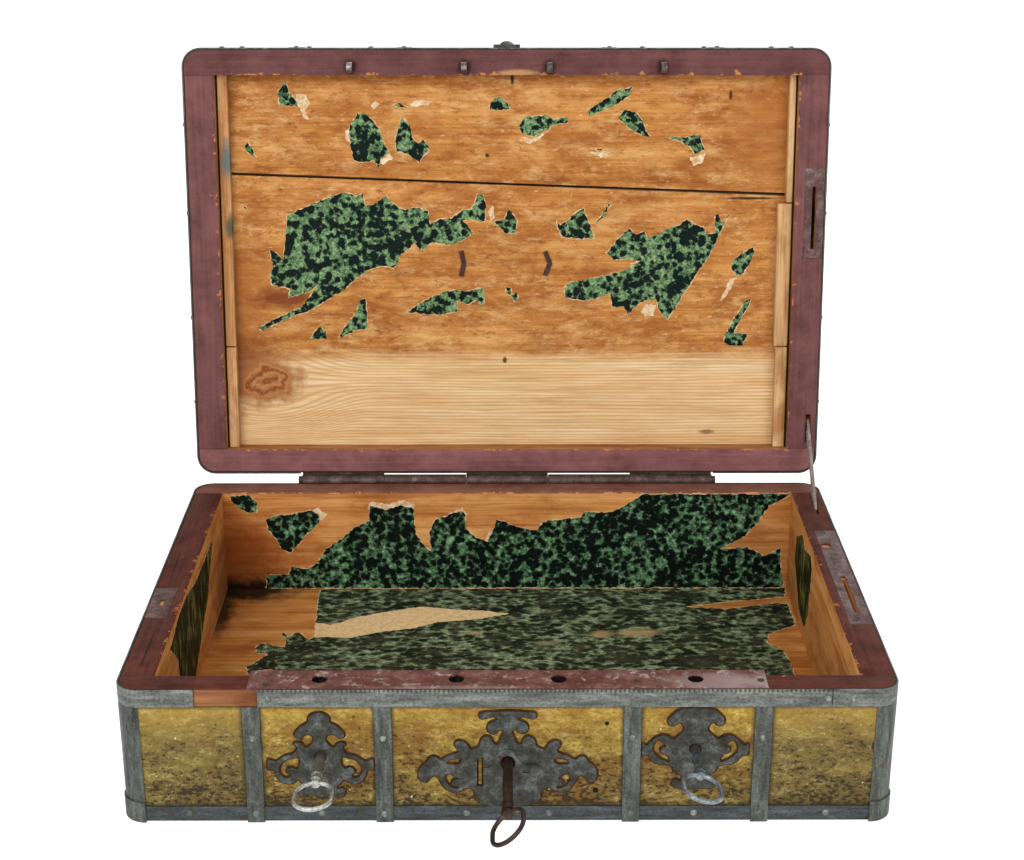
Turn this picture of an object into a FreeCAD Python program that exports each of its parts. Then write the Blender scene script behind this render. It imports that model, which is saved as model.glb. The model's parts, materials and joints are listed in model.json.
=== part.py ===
"""Iron-bound coffer chest: a pine case and lid in a painted covering, bound with iron, shut by three locks.

Frame: origin at the centre of the case's underside, +Z up, locks towards -Y, +X to the right of the locks.
Lid pieces are drawn shut, on the rim, and then swung open about the hinge to stand against their stay.
"""
import FreeCAD
import Part
import math
import os
import re
from types import SimpleNamespace

from FreeCAD import Placement, Rotation, Vector

# Driving sizes in millimetres, angles in degrees
SIZES = {
    # Case boards
    "case_length": 576,
    "case_depth": 387,
    "rim_height": 113,
    "side_wall": 25,
    "front_wall": 20,
    "back_wall": 22,
    "bottom_thick": 15,
    "corner_radius": 15,
    # Covering and iron bands
    "covering": 0.8,
    "band": 1.2,
    "rim_band_height": 14.5,
    "base_band_height": 12,
    "base_band_lift": 1.5,
    "band_joint": 0.4,
    "bare_gap_start": 231,
    "bare_gap_end": 184,
    "band_seam": 239,
    # Straps
    "strap_width": 13,
    "strap_spread_inner": 92.5,
    "strap_spread_outer": 189.5,
    "strap_lap": 4,
    "strap_sink": 0.3,
    "strap_turn": 42,
    "side_strap_inset": 97.5,
    "corner_strap_reach": 15.5,
    # Lid frame and boards
    "lid_gap": 0.4,
    "lid_recess": 20,
    "lid_board": 12,
    "lid_side_rail": 26,
    "lid_front_rail": 22,
    "lid_back_rail": 21.5,
    "lid_band_height": 9,
    "lid_seam_left": 83,
    "lid_seam_right": 63,
    "lid_seam_gap": 0.9,
    "batten_height": 11,
    "left_batten": 10.5,
    "right_batten_front": 7,
    "right_batten_middle": 14,
    "right_batten_back": 12,
    "batten_split_back": 95,
    "batten_split_front": 56,
    "batten_joint": 1.2,
    # Hinge
    "open_angle": 98.2,
    "hinge_length": 384,
    "hinge_setback": 7.5,
    "barrel_radius": 5.5,
    "hinge_pin_radius": 2.5,
    "hinge_pin_head": 3,
    "hinge_pin_head_radius": 4,
    "running_clearance": 0.05,
    "knuckle_gap": 0.4,
    "leaf": 1.6,
    "leaf_step": 3.5,
    "case_leaf_drop": 33,
    "lid_leaf_rise": 21,
    "leaf_margin": 1.5,
    # Locks
    "lock_spread": 139.5,
    "lock_web": 9,
    "lock_reach": 28,
    "lock_clear": 16.5,
    "lock_sheet": 1.5,
    "lock_short_side": 22,
    "lock_long_side": 58,
    "centre_lock_half": 72,
    "selvage": 1.5,
    "selvage_half": 192,
    "staple_hole_radius": 6,
    "drill_pin_radius": 1.7,
    "drill_pin_length": 13,
    # Bolts
    "bolt_depth": 15,
    "bolt_thick": 4.4,
    "bolt_throw": 16,
    "finger_top": 5,
    "finger_tall": 6,
    "shoulder_drop": 20,
    "bar_tall": 7,
    "talon_rise": 6.5,
    "notch_tall": 5.5,
    "notch_half": 5.75,
    "tail_half": 12,
    "side_tip_gap": 4.5,
    "centre_tip_gap": 8,
    "neck_gap": 4,
    "neck_width": 9,
    "bar_end": 46,
    "guide_start": 31,
    "centre_guide_start": 25,
    "guide_width": 6,
    "guide_wall": 2,
    "slide_clearance": 0.3,
    # Staples in the lid
    "staple_spread": 38,
    "staple_width": 5,
    "staple_outer": 9.6,
    "staple_inner": 5.6,
    "staple_drop": 16,
    "staple_drive": 11,
    # Keys
    "side_shank_radius": 3.4,
    "centre_shank_radius": 3.8,
    "side_shank_reach": 38,
    "centre_shank_reach": 70,
    "key_seat": 24,
    "bow_width": 31,
    "bow_length": 38,
    "bow_stock_radius": 1.75,
    "collar_growth": 1.1,
    "collar_width": 3,
    "bit_radius": 10.5,
    "bit_thick": 3.5,
    "bit_start": 11.5,
    "bit_width": 8.5,
    "ward_cut": 2,
    "side_keyhole_radius": 4.8,
    "centre_keyhole_radius": 5.8,
    "keyhole_slot": 4.6,
    "keyhole_drop": 12,
    "left_key_turn": 3,
    "centre_key_turn": 38,
    "right_key_turn": 12,
    # Escutcheons
    "left_plate_drop": 4.6,
    "right_plate_drop": 1,
    "side_plate_rise": 8.7,
    "centre_plate_drop": 3.3,
    "centre_plate_rise": 0.5,
    "plate_gap": 0.3,
    "plate": 1.4,
    "keyhole_shield": 1,
    # Rim fittings
    "rim_plate": 1.5,
    "rim_plate_width": 18,
    "right_plate_front": 92,
    "right_plate_back": 86,
    "left_plate_front": 79,
    "left_plate_back": 26,
    "lid_plate_front": 89,
    "lid_plate_back": 7,
    "slot_width": 3.9,
    "slot_front": 72,
    "slot_back": 6,
    "slot_inset": 9,
    "slot_depth": 14,
    "peg_hole_radius": 4.2,
    "peg_hole_place": 55,
    "catch_hole_length": 9,
    # Stay
    "stay_reach": 54,
    "stay_rise": 5,
    "stay_inset": 7,
    "stay_thick": 2.4,
    "stay_width": 9,
    "stay_end": 3.5,
    "stay_pin_radius": 2,
    "stay_pin_length": 15,
    "stay_mortise": 4.8,
    "stay_room_front": 26,
    "stay_room_back": 14,
    "stay_room_above": 12,
    # Bail handle and lid knob
    "eye_spread": 39.75,
    "eye_rise": 6.5,
    "eye_stock": 1.7,
    "eye_radius": 5,
    "eye_leg_radius": 1.9,
    "clench_length": 12,
    "clench_thick": 1.6,
    "clench_width": 4.4,
    "left_clench_lean": 12,
    "right_clench_lean": 22,
    "bail_stock": 2.8,
    "bail_drop": 36,
    "bail_bend": 9,
    "bail_end": 7,
    "knob_place": 13.5,
    "knob_radius": 6.5,
    "knob_height": 3.2,
    "knob_clench": 9,
    "rosette_radius": 12,
    "rosette": 2.6,
    "knob_shank_radius": 2,
    # Nails
    "nail_head_radius": 2.6,
    "nail_head_height": 1.3,
    "nail_shank_radius": 1,
    "nail_length": 7,
    "upper_nail_height": 72,
    "rim_nail_drop": 8,
    "rim_nail_inner": 121,
    "rim_nail_outer": 176,
    "corner_nail_inset": 34,
    "corner_nail_pitch": 18,
    "base_nail_inner": 31,
    "base_nail_outer": 140,
    "base_nail_inset": 48,
    "side_nail_place": 48,
    "side_nail_inset": 66,
    # Paper lining
    "paper": 0.3,
    # Every cutting tool runs this far past the face it opens
    "overrun": 2,
}

NAIL_TAPER_SHARE = 0.55
WARD_SHARES = (0.35, 0.65)
HALF_TURN = 180
KNUCKLES = 5
# Collars on a key: the size of each, and how many widths its middle lies from the bow
COLLAR_STEPS = {1: 1, 2: 3.5}

# Escutcheon scrolls about the keyhole, as shares of a plate's scale: (across, up), a half from crown to foot
LEFT_CROWN_SHARE = 0.91
RIGHT_CROWN_SHARE = 0.85
SIDE_FOOT_SHARE = 0.86
CENTRE_CROWN_SHARE = 0.665
CENTRE_FOOT_SHARE = 0.585
SIDE_REACH_SHARE = 0.99
CENTRE_REACH_SHARE = 1.04
LEFT_PLATE_SHARES = (
    (0, 0.91), (0.1, 0.89), (0.18, 0.81), (0.2, 0.71), (0.295, 0.655), (0.365, 0.59), (0.445, 0.43),
    (0.385, 0.38), (0.31, 0.435), (0.145, 0.45), (0.1, 0.365), (0.285, 0.2), (0.34, 0.275),
    (0.47, 0.26), (0.42, 0.205), (0.435, 0.115), (0.7, -0.02), (0.845, -0.105), (0.955, -0.065),
    (0.972, -0.17), (0.955, -0.285), (0.875, -0.28), (0.82, -0.405), (0.62, -0.58), (0.49, -0.535),
    (0.41, -0.49), (0.345, -0.575), (0.28, -0.635), (0.3, -0.69), (0.385, -0.68), (0.4, -0.85),
    (0.3, -0.85), (0.23, -0.8), (0.12, -0.83), (0, -0.86),
)
LEFT_SCROLL_SHARES = (
    (0.41, -0.005), (0.53, -0.03), (0.65, -0.08), (0.77, -0.295), (0.655, -0.455), (0.575, -0.435),
    (0.565, -0.38), (0.62, -0.345), (0.545, -0.235), (0.46, -0.26), (0.375, -0.12),
)
RIGHT_PLATE_SHARES = (
    (0, 0.85), (0.135, 0.845), (0.25, 0.84), (0.45, 0.7), (0.51, 0.575), (0.465, 0.495), (0.385, 0.505),
    (0.325, 0.56), (0.215, 0.445), (0.345, 0.25), (0.41, 0.205), (0.5, 0.26), (0.845, 0.12),
    (0.91, 0.075), (0.955, 0.105), (0.972, 0), (0.955, -0.13), (0.9, -0.12), (0.755, -0.275),
    (0.4, -0.395), (0.375, -0.47), (0.215, -0.605), (0.255, -0.68), (0.345, -0.65), (0.4, -0.73),
    (0.345, -0.82), (0.225, -0.83), (0.12, -0.83), (0, -0.86),
)
RIGHT_SCROLL_SHARES = (
    (0.54, 0.08), (0.74, 0.16), (0.785, 0.07), (0.58, -0.245), (0.465, -0.275), (0.515, -0.12),
    (0.61, -0.07), (0.63, 0), (0.575, 0.04),
)
CENTRE_PLATE_SHARES = (
    (0, 0.665), (0.125, 0.66), (0.233, 0.65), (0.32, 0.62), (0.312, 0.583), (0.16, 0.596),
    (0.113, 0.57), (0.208, 0.503), (0.19, 0.38), (0.137, 0.384), (0.1, 0.424), (0.056, 0.42),
    (0.075, 0.32), (0.132, 0.232), (0.168, 0.252), (0.185, 0.305), (0.237, 0.338), (0.312, 0.26),
    (0.32, 0.215), (0.37, 0.182), (0.424, 0.165), (0.455, 0.21), (0.568, 0.276), (0.6, 0.248),
    (0.56, 0.144), (0.674, 0.086), (0.783, 0.033), (0.83, 0.07), (0.89, 0.06), (0.918, 0.017),
    (0.973, -0.038), (0.987, -0.253), (0.937, -0.265), (0.908, -0.22), (0.826, -0.179), (0.764, -0.281),
    (0.57, -0.394), (0.458, -0.338), (0.376, -0.42), (0.378, -0.48), (0.34, -0.53), (0.26, -0.57),
    (0.13, -0.584), (0, -0.585),
)
CENTRE_UPPER_SCROLL_SHARES = (
    (0.534, 0.04), (0.613, 0.05), (0.69, 0.018), (0.712, -0.015), (0.65, -0.03), (0.539, 0.003),
)
CENTRE_LOWER_SCROLL_SHARES = (
    (0.559, -0.22), (0.625, -0.179), (0.69, -0.155), (0.725, -0.192), (0.71, -0.258), (0.62, -0.348),
    (0.568, -0.345), (0.562, -0.325), (0.606, -0.315), (0.64, -0.281), (0.592, -0.228),
)
CENTRE_SLOT_SHARES = ((-0.356, -0.32), (-0.28, -0.32), (-0.28, 0.05), (-0.356, 0.05))
SHIELD_SHARES = (
    (0, 0.17), (0.08, 0.144), (0.158, 0.003), (0.208, -0.022), (0.309, -0.022), (0.398, -0.1),
    (0.366, -0.154), (0.18, -0.175), (0.043, -0.35), (-0.1, -0.311), (-0.22, -0.175), (-0.262, -0.165),
    (-0.268, -0.12), (-0.262, -0.075), (-0.22, -0.06), (-0.165, -0.02), (-0.144, 0.07), (-0.093, 0.144),
)
SHIELD_HOLE_SHARES = ((0.17, -0.135), (0.25, -0.135), (0.25, -0.07), (0.17, -0.07))

# Paper remnants, as shares of the panel they are pasted on, from its left and lower or front edge
LID_PAPER_SHARES = (
    ((0.09, 0.35), (0.16, 0.42), (0.07, 0.41), (0.09, 0.61), (0.2, 0.68), (0.33, 0.62), (0.42, 0.68),
     (0.46, 0.61), (0.4, 0.56), (0.29, 0.49), (0.2, 0.39)),
    ((0.6, 0.4), (0.6, 0.44), (0.7, 0.5), (0.68, 0.56), (0.75, 0.58), (0.84, 0.6), (0.89, 0.63), (0.83, 0.48),
     (0.78, 0.34), (0.72, 0.37)),
    ((0.21, 0.8), (0.23, 0.9), (0.28, 0.88), (0.3, 0.77), (0.24, 0.75)),
    ((0.53, 0.84), (0.55, 0.87), (0.62, 0.88), (0.61, 0.85), (0.55, 0.82)),
)
BACK_PAPER_SHARES = (
    ((0.08, 0.02), (0.16, 0.22), (0.25, 0.7), (0.34, 0.88), (0.37, 0.4), (0.42, 0.92), (0.47, 0.48),
     (0.57, 0.66), (0.72, 0.94), (0.98, 0.97), (0.9, 0.4), (0.98, 0.42), (0.98, 0.02)),
)
FLOOR_PAPER_SHARES = (
    ((0.06, 0.02), (0.12, 0.4), (0.2, 0.52), (0.5, 0.66), (0.2, 0.75), (0.18, 0.97), (0.92, 0.97), (0.8, 0.8),
     (0.95, 0.75), (0.93, 0.4), (0.97, 0.02)),
)
WALL_PAPER_SHARES = (((0.1, 0.05), (0.32, 0.78), (0.55, 0.62), (0.8, 0.8), (0.72, 0.05)),)

WORD = re.compile(r"[a-z][a-z_]*")
FRONT = "-case_depth / 2"
BACK = "case_depth / 2"
LEFT = "-case_length / 2"
RIGHT = "case_length / 2"
LID = "rim_height + lid_gap"

# Sizes that follow: each escutcheon fills its field between the bands and sets its keyhole's height
FOLLOWS = {
    "base_top": "base_band_lift + base_band_height",
    "rim_band_foot": "rim_height - rim_band_height",
    "side_strap_spread": "case_depth / 2 - side_strap_inset",
    "side_plate_tall": "rim_band_foot - left_plate_drop - base_top - side_plate_rise",
    "side_plate_reach": "lock_spread - strap_spread_inner - strap_width / 2 - plate_gap",
    "side_plate_scale": f"min(side_plate_tall / {LEFT_CROWN_SHARE + SIDE_FOOT_SHARE};"
                        f" side_plate_reach / {SIDE_REACH_SHARE})",
    "centre_plate_tall": "rim_band_foot - centre_plate_drop - base_top - centre_plate_rise",
    "centre_plate_reach": "strap_spread_inner - strap_width / 2 - plate_gap",
    "centre_plate_scale": f"min(centre_plate_tall / {CENTRE_CROWN_SHARE + CENTRE_FOOT_SHARE};"
                          f" centre_plate_reach / {CENTRE_REACH_SHARE})",
    "left_key_height": f"rim_band_foot - left_plate_drop - {LEFT_CROWN_SHARE} * side_plate_scale",
    "centre_key_height": f"base_top + centre_plate_rise + {CENTRE_FOOT_SHARE} * centre_plate_scale",
    "right_key_height": f"rim_band_foot - right_plate_drop - {RIGHT_CROWN_SHARE} * side_plate_scale",
}

doc = FreeCAD.newDocument("coffer_chest")
sheet = doc.addObject("Spreadsheet::Sheet", "Sizes")
NAMES = [*SIZES, *FOLLOWS]
for row, name in enumerate(NAMES, start=1):
    sheet.set(f"A{row}", name)
    sheet.setAlias(f"B{row}", name)
    sheet.set(f"B{row}", str(SIZES[name]) if name in SIZES else "=" + FOLLOWS[name])
doc.recompute()
mm = SimpleNamespace(**{name: float(sheet.get(name)) for name in NAMES})

pieces = []
front_y = -mm.case_depth / 2
lid_z = mm.rim_height + mm.lid_gap
lid_top = lid_z + mm.lid_recess + mm.lid_board + mm.covering
hinge_y = mm.case_depth / 2 + mm.covering + mm.hinge_setback
swung_open = Placement(Vector(), Rotation(Vector(1, 0, 0), -mm.open_angle), Vector(0, hinge_y, mm.rim_height))


def formula(text):
    """Turns the size names of an expression into references to the sheet."""
    return WORD.sub(lambda word: "Sizes." + word.group() if word.group() in NAMES else word.group(), text)


def bind(item, **formulas):
    for path, text in formulas.items():
        item.setExpression(path.replace("_base_", "Placement.Base."), formula(text))


def around(centre, width):
    """A pair of formulas, half a width to each side of a centre."""
    return f"{centre} - {width} / 2", f"{centre} + {width} / 2"


def past(span):
    """A span that runs past both its ends, for a cutting tool."""
    return f"{span[0]} - overrun", f"{span[1]} + overrun"


def block(name, x, y, z):
    """A box between two formulas along each axis."""
    item = doc.addObject("Part::Box", name)
    bind(item, Length=f"({x[1]}) - ({x[0]})", Width=f"({y[1]}) - ({y[0]})", Height=f"({z[1]}) - ({z[0]})",
         _base_x=x[0], _base_y=y[0], _base_z=z[0])
    return item


def rod(name, axis, x, y, z, radius):
    """A cylinder along one axis: that axis takes a pair of formulas, the others one each."""
    item = doc.addObject("Part::Cylinder", name)
    turns = {"x": Rotation(Vector(0, 1, 0), 90), "y": Rotation(Vector(1, 0, 0), -90), "z": Rotation()}
    item.Placement = Placement(Vector(), turns[axis])
    ends = {"x": x, "y": y, "z": z}
    low, high = ends[axis]
    ends[axis] = low
    bind(item, Radius=radius, Height=f"({high}) - ({low})",
         _base_x=ends["x"], _base_y=ends["y"], _base_z=ends["z"])
    return item


def fuse(name, *items):
    item = doc.addObject("Part::MultiFuse", name)
    item.Shapes = list(items)
    item.Refine = True
    return item


def cut(name, base, *tools):
    item = doc.addObject("Part::Cut", name)
    item.Base = base
    item.Tool = tools[0] if len(tools) == 1 else fuse(name + "_tools", *tools)
    return item


def common(name, base, tool):
    item = doc.addObject("Part::Common", name)
    item.Base = base
    item.Tool = tool
    return item


def group(name, items):
    item = doc.addObject("Part::Compound", name)
    item.Links = list(items)
    return item


def feature(name, shape):
    item = doc.addObject("Part::Feature", name)
    item.Shape = shape
    return item


def rounded(name, box, radius, corners):
    """Rounds upright edges of a box; corners are pairs such as ("left", "front")."""
    edges = {("left", "front"): 1, ("left", "back"): 3, ("right", "front"): 5, ("right", "back"): 7}
    item = doc.addObject("Part::Fillet", name)
    item.Base = box
    item.Edges = [(edges[corner], radius, radius) for corner in corners]
    return item


def slab(name, growth, z):
    """The chest's rounded footprint, grown outwards, between two heights."""
    box = block(name + "_box", (f"{LEFT} - ({growth})", f"{RIGHT} + {growth}"),
                (f"{FRONT} - ({growth})", f"{BACK} + {growth}"), z)
    grown = {"0": 0, "covering": mm.covering, "covering + band": mm.covering + mm.band,
             "covering + 2 * band": mm.covering + 2 * mm.band}
    return rounded(name, box, mm.corner_radius + grown[growth],
                   [(side, end) for side in ("left", "right") for end in ("front", "back")])


def ring(name, inner, outer, z):
    return cut(name, slab(name + "_outer", outer, z), slab(name + "_inner", inner, past(z)))


def padded_outline(name, plane, outline, thickness, symmetric=True):
    """A body padded from one closed outline; three points in a tuple are an arc from the last corner."""
    body = doc.addObject("PartDesign::Body", name)
    sketch = body.newObject("Sketcher::SketchObject", name + "_outline")
    sketch.AttachmentSupport = [(next(o for o in body.Origin.OriginFeatures if o.Role == plane), "")]
    sketch.MapMode = "FlatFace"
    for loop in outline:
        corner = Vector(*loop[-1][-2:])
        for step in loop:
            end = Vector(*step[-2:])
            if len(step) > 2:
                sketch.addGeometry(Part.Arc(corner, Vector(*step[:2]), end), False)
            else:
                sketch.addGeometry(Part.LineSegment(corner, end), False)
            corner = end
    pad = body.newObject("PartDesign::Pad", name + "_pad")
    pad.Profile = sketch
    pad.SideType = "Symmetric" if symmetric else "One side"
    bind(pad, Length=thickness)
    return body


def piece(item, label, on_lid=False):
    """Names a finished sub-part; a lid piece is swung open with the lid."""
    item.Label = label
    if on_lid:
        item.Placement = swung_open.multiply(item.Placement)
    pieces.append(item)
    return item


# Case boards
def lock_set(x, height, kind, turn, hand):
    """What one lock's pieces share: its key axis, its hole and key sizes, and the key's turn from +X."""
    return SimpleNamespace(x=x, z=height, hole=f"{kind}_keyhole_radius", shank=f"{kind}_shank_radius",
                           reach=f"{kind}_shank_reach", turn=turn, hand=hand)


LOCKS = {"left": lock_set("-lock_spread", "left_key_height", "side", mm.left_key_turn, 1),
         "centre": lock_set("0", "centre_key_height", "centre", mm.centre_key_turn, 1),
         "right": lock_set("lock_spread", "right_key_height", "side", HALF_TURN - mm.right_key_turn, -1)}
STRAPS = {"left_outer": "-strap_spread_outer", "left_inner": "-strap_spread_inner",
          "right_inner": "strap_spread_inner", "right_outer": "strap_spread_outer"}
LOCK_TOP = "rim_height - selvage"
LOCK_SPANS = {"left": ("-lock_spread - lock_short_side", "-lock_spread + lock_long_side"),
              "centre": ("-centre_lock_half", "centre_lock_half"),
              "right": ("lock_spread - lock_long_side", "lock_spread + lock_short_side")}
STAPLES = ("-lock_spread", "-staple_spread", "staple_spread", "lock_spread")
SLOT_X = around(f"{RIGHT} - slot_inset", "slot_width")
STAY_X = f"{RIGHT} - stay_inset"
STAY_Y = f"{BACK} + covering + hinge_setback - stay_reach"


def keyhole_tool(side):
    """Round hole with a slot below, long enough to open the board, the covering and the escutcheon."""
    lock = LOCKS[side]
    span = (f"{FRONT} - covering - plate - keyhole_shield - overrun", f"{FRONT} + lock_web + overrun")
    hole = rod(f"{side}_keyhole_round", "y", lock.x, span, lock.z, lock.hole)
    slot = block(f"{side}_keyhole_slot", around(lock.x, "keyhole_slot"), span,
                 (f"{lock.z} - keyhole_drop", lock.z))
    return fuse(f"{side}_keyhole", hole, slot)


KEYHOLES = {side: keyhole_tool(side) for side in LOCKS}


def case_boards():
    walls = ("bottom_thick", "rim_height")
    inner_y = (f"{FRONT} + front_wall", f"{BACK} - back_wall")

    sunk = ("-overrun", "strap_sink + band")
    grooves = [block(f"groove_{side}", around(place, "strap_width"), past((FRONT, BACK)), sunk)
               for side, place in STRAPS.items()]
    for side, edge, inwards in (("left", LEFT, "+"), ("right", RIGHT, "-")):
        ends = [f"{edge} {inwards} strap_turn", f"{edge} {'-' if inwards == '+' else '+'} overrun"]
        for place in ("-side_strap_spread", "side_strap_spread"):
            grooves.append(block(f"groove_{side}_{len(grooves)}", ends if inwards == "-" else ends[::-1],
                                 around(place, "strap_width"), sunk))
    bottom = slab("bottom_blank", "0", ("0", "bottom_thick"))
    piece(cut("case_bottom_board", bottom, *grooves), "case_bottom_board")

    front = rounded("front_blank", block("front_plank", (LEFT, RIGHT), (FRONT, inner_y[0]), walls),
                    mm.corner_radius, (("left", "front"), ("right", "front")))
    seat = block("selvage_seat", ("-selvage_half", "selvage_half"), past((FRONT, inner_y[0])),
                 (LOCK_TOP, "rim_height + overrun"))
    hollow = (f"{FRONT} + lock_web", f"{inner_y[0]} + overrun")
    mortises = [block(f"{side}_lock_mortise", LOCK_SPANS[side], hollow,
                      (f"{lock.z} - lock_clear", "rim_height")) for side, lock in LOCKS.items()]
    piece(cut("case_front_board", front, seat, *mortises, *KEYHOLES.values()), "case_front_board")

    back = rounded("back_blank", block("back_plank", (LEFT, RIGHT), (inner_y[1], BACK), walls),
                   mm.corner_radius, (("left", "back"), ("right", "back")))
    piece(back, "case_back_board")

    let_in = ("rim_height - rim_plate", "rim_height + overrun")
    left = block("left_plank", (LEFT, f"{LEFT} + side_wall"), inner_y, walls)
    catch_seat = block("catch_seat", (f"{LEFT} - overrun", f"{LEFT} + rim_plate_width"),
                       ("-left_plate_front", "-left_plate_back"), let_in)
    piece(cut("case_left_board", left, catch_seat), "case_left_board")

    right = block("right_plank", (f"{RIGHT} - side_wall", RIGHT), inner_y, walls)
    plate_seat = block("slot_plate_seat", (f"{RIGHT} - rim_plate_width", f"{RIGHT} + overrun"),
                       ("-right_plate_front", "right_plate_back"), let_in)
    slot = block("case_slot_mortise", SLOT_X, ("-slot_front", "-slot_back"),
                 ("rim_height - rim_plate - slot_depth", "rim_height"))
    mortise = block("case_stay_mortise", around(STAY_X, "stay_mortise"),
                    (f"{STAY_Y} - stay_room_front", f"{STAY_Y} + stay_room_back"),
                    ("bottom_thick - overrun", "rim_height + overrun"))
    piece(cut("case_right_board", right, plate_seat, slot, mortise, keeper), "case_right_board")


def stay_pin(name, height):
    half = "stay_pin_length / 2"
    return rod(name, "x", (f"{STAY_X} - {half}", f"{STAY_X} + {half} - stay_thick / 2"), STAY_Y, height,
               "stay_pin_radius")


keeper = stay_pin("keeper_pin", "rim_height - stay_rise")
pivot = stay_pin("pivot_pin", "rim_height + stay_rise")
case_boards()
piece(keeper, "stay_keeper_pin")


# Covering and iron binding of the case
def case_binding():
    skin = ring("case_skin", "0", "covering", ("base_band_lift", "rim_height"))
    bare = block("bare_patch", ("-bare_gap_start", "-bare_gap_end"), (f"{FRONT} - covering - overrun", FRONT),
                 ("rim_band_foot", "rim_height + overrun"))
    piece(cut("case_covering", skin, bare, *KEYHOLES.values()), "case_covering")
    piece(ring("base_band", "covering", "covering + band", ("base_band_lift", "base_top")), "base_band")

    rim = ("rim_band_foot", "rim_height")
    near = (f"{FRONT} - covering - band - overrun", "0")
    far = ("0", f"{BACK} + covering + band + overrun")
    whole = (near[0], far[1])
    leaf_end = "hinge_length / 2 + leaf_margin"
    reaches = {
        "rim_band_left": ((f"{LEFT} - covering - band - overrun", "-bare_gap_start", whole),
                          ("-bare_gap_start", f"-({leaf_end})", far)),
        "rim_band_front": (("-bare_gap_end", "band_seam - band_joint", near),),
        "rim_band_right": (("band_seam", f"{RIGHT} + covering + band + overrun", whole),
                           (leaf_end, "band_seam", far)),
    }
    for name, spans in reaches.items():
        blocks = [block(f"{name}_reach_{index}", span[:2], span[2], rim) for index, span in enumerate(spans)]
        reach = blocks[0] if len(blocks) == 1 else fuse(name + "_reach", *blocks)
        piece(common(name, ring(name + "_ring", "covering", "covering + band", rim), reach), name)

    lower = ("strap_sink", "base_top + strap_lap")
    upper = ("base_top", "rim_band_foot")
    foot_ring = ring("corner_foot_ring", "covering + band", "covering + 2 * band", lower)
    post_ring = ring("corner_post_ring", "covering", "covering + band", upper)
    edge = "covering + 2 * band + overrun"
    x_spans = {"left": (f"{LEFT} - ({edge})", f"{LEFT} + corner_strap_reach"),
               "right": (f"{RIGHT} - corner_strap_reach", f"{RIGHT} + {edge}")}
    y_spans = {"front": (f"{FRONT} - ({edge})", f"{FRONT} + corner_strap_reach"),
               "back": (f"{BACK} - corner_strap_reach", f"{BACK} + {edge}")}
    straps = []
    for end, y_span in y_spans.items():
        for side, x_span in x_spans.items():
            name = f"corner_strap_{end}_{side}"
            region = block(name + "_region", x_span, y_span, ("0", "rim_height"))
            post = common(name + "_post", post_ring, region)
            straps.append(fuse(name, post, common(name + "_foot", foot_ring, region)))
    piece(group("corner_straps", straps), "corner_straps")


def strap_leg(top):
    """Outer and inner corners of a strap leg that laps the base band: (outwards, up) from the wood."""
    flat, raised, lapped = (mm.covering + count * mm.band for count in (0, 1, 2))
    lap = mm.base_top + mm.strap_lap
    outer = [(raised, top), (raised, lap + mm.band), (lapped, lap), (lapped, mm.strap_sink)]
    inner = [(raised, mm.strap_sink + mm.band), (raised, mm.base_top), (flat, mm.base_top + mm.band),
             (flat, top)]
    return outer, inner


def case_straps():
    top = mm.rim_band_foot
    outer, inner = strap_leg(top)
    back_outer, back_inner = strap_leg(mm.rim_height - mm.case_leaf_drop - mm.leaf_margin)
    half = mm.case_depth / 2
    rear = [(half + out, up) for out, up in [*reversed(back_outer), *reversed(back_inner)]]
    outline = [(-half - out, up) for out, up in outer] + rear + [(-half - out, up) for out, up in inner]
    for side, place in STRAPS.items():
        strap = padded_outline(f"case_strap_{side}", "YZ_Plane", [outline], "strap_width")
        bind(strap, _base_x=place)
        piece(strap, f"case_strap_{side}")

    half = mm.case_length / 2
    turned = [(half - mm.strap_turn, mm.strap_sink), (half - mm.strap_turn, mm.strap_sink + mm.band)]
    corners = [(half + out, up) for out, up in outer] + turned + [(half + out, up) for out, up in inner]
    straps = []
    for sign in (-1, 1):
        for place in ("-side_strap_spread", "side_strap_spread"):
            outline = [(sign * x, z) for x, z in corners]
            straps.append(padded_outline(f"side_strap_{len(straps)}", "XZ_Plane", [outline], "strap_width"))
            bind(straps[-1], _base_y=place)
    piece(group("side_straps", straps), "side_straps")


case_binding()
case_straps()


# Escutcheons
def flat_face(points, scale):
    corners = [Vector(across * scale, 0, up * scale) for across, up in points]
    return Part.Face(Part.makePolygon(corners + corners[:1]))


def scroll_face(points, scale):
    """A face inside one smooth closed outline through the points."""
    outline = Part.BSplineCurve()
    outline.interpolate([Vector(across * scale, 0, up * scale) for across, up in points], PeriodicFlag=True)
    return Part.Face(Part.Wire(outline.toShape()))


def both_hands(half):
    """A half outline, from crown to foot, carried up the other side."""
    return [*half, *((-across, up) for across, up in reversed(half) if across)]


def cut_plate(blank, openings, thickness):
    """One sheet-iron plate with its openings sawn through."""
    plate = blank.extrude(Vector(0, -thickness, 0))
    return plate.cut([opening.extrude(Vector(0, -thickness, 0)) for opening in openings])


def scroll_plate(half, scrolls, scale, slots=()):
    openings = [scroll_face([(hand * across, up) for across, up in scroll], scale)
                for scroll in scrolls for hand in (-1, 1)]
    openings += [flat_face(slot, scale) for slot in slots]
    return cut_plate(scroll_face(both_hands(half), scale), openings, mm.plate)


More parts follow.
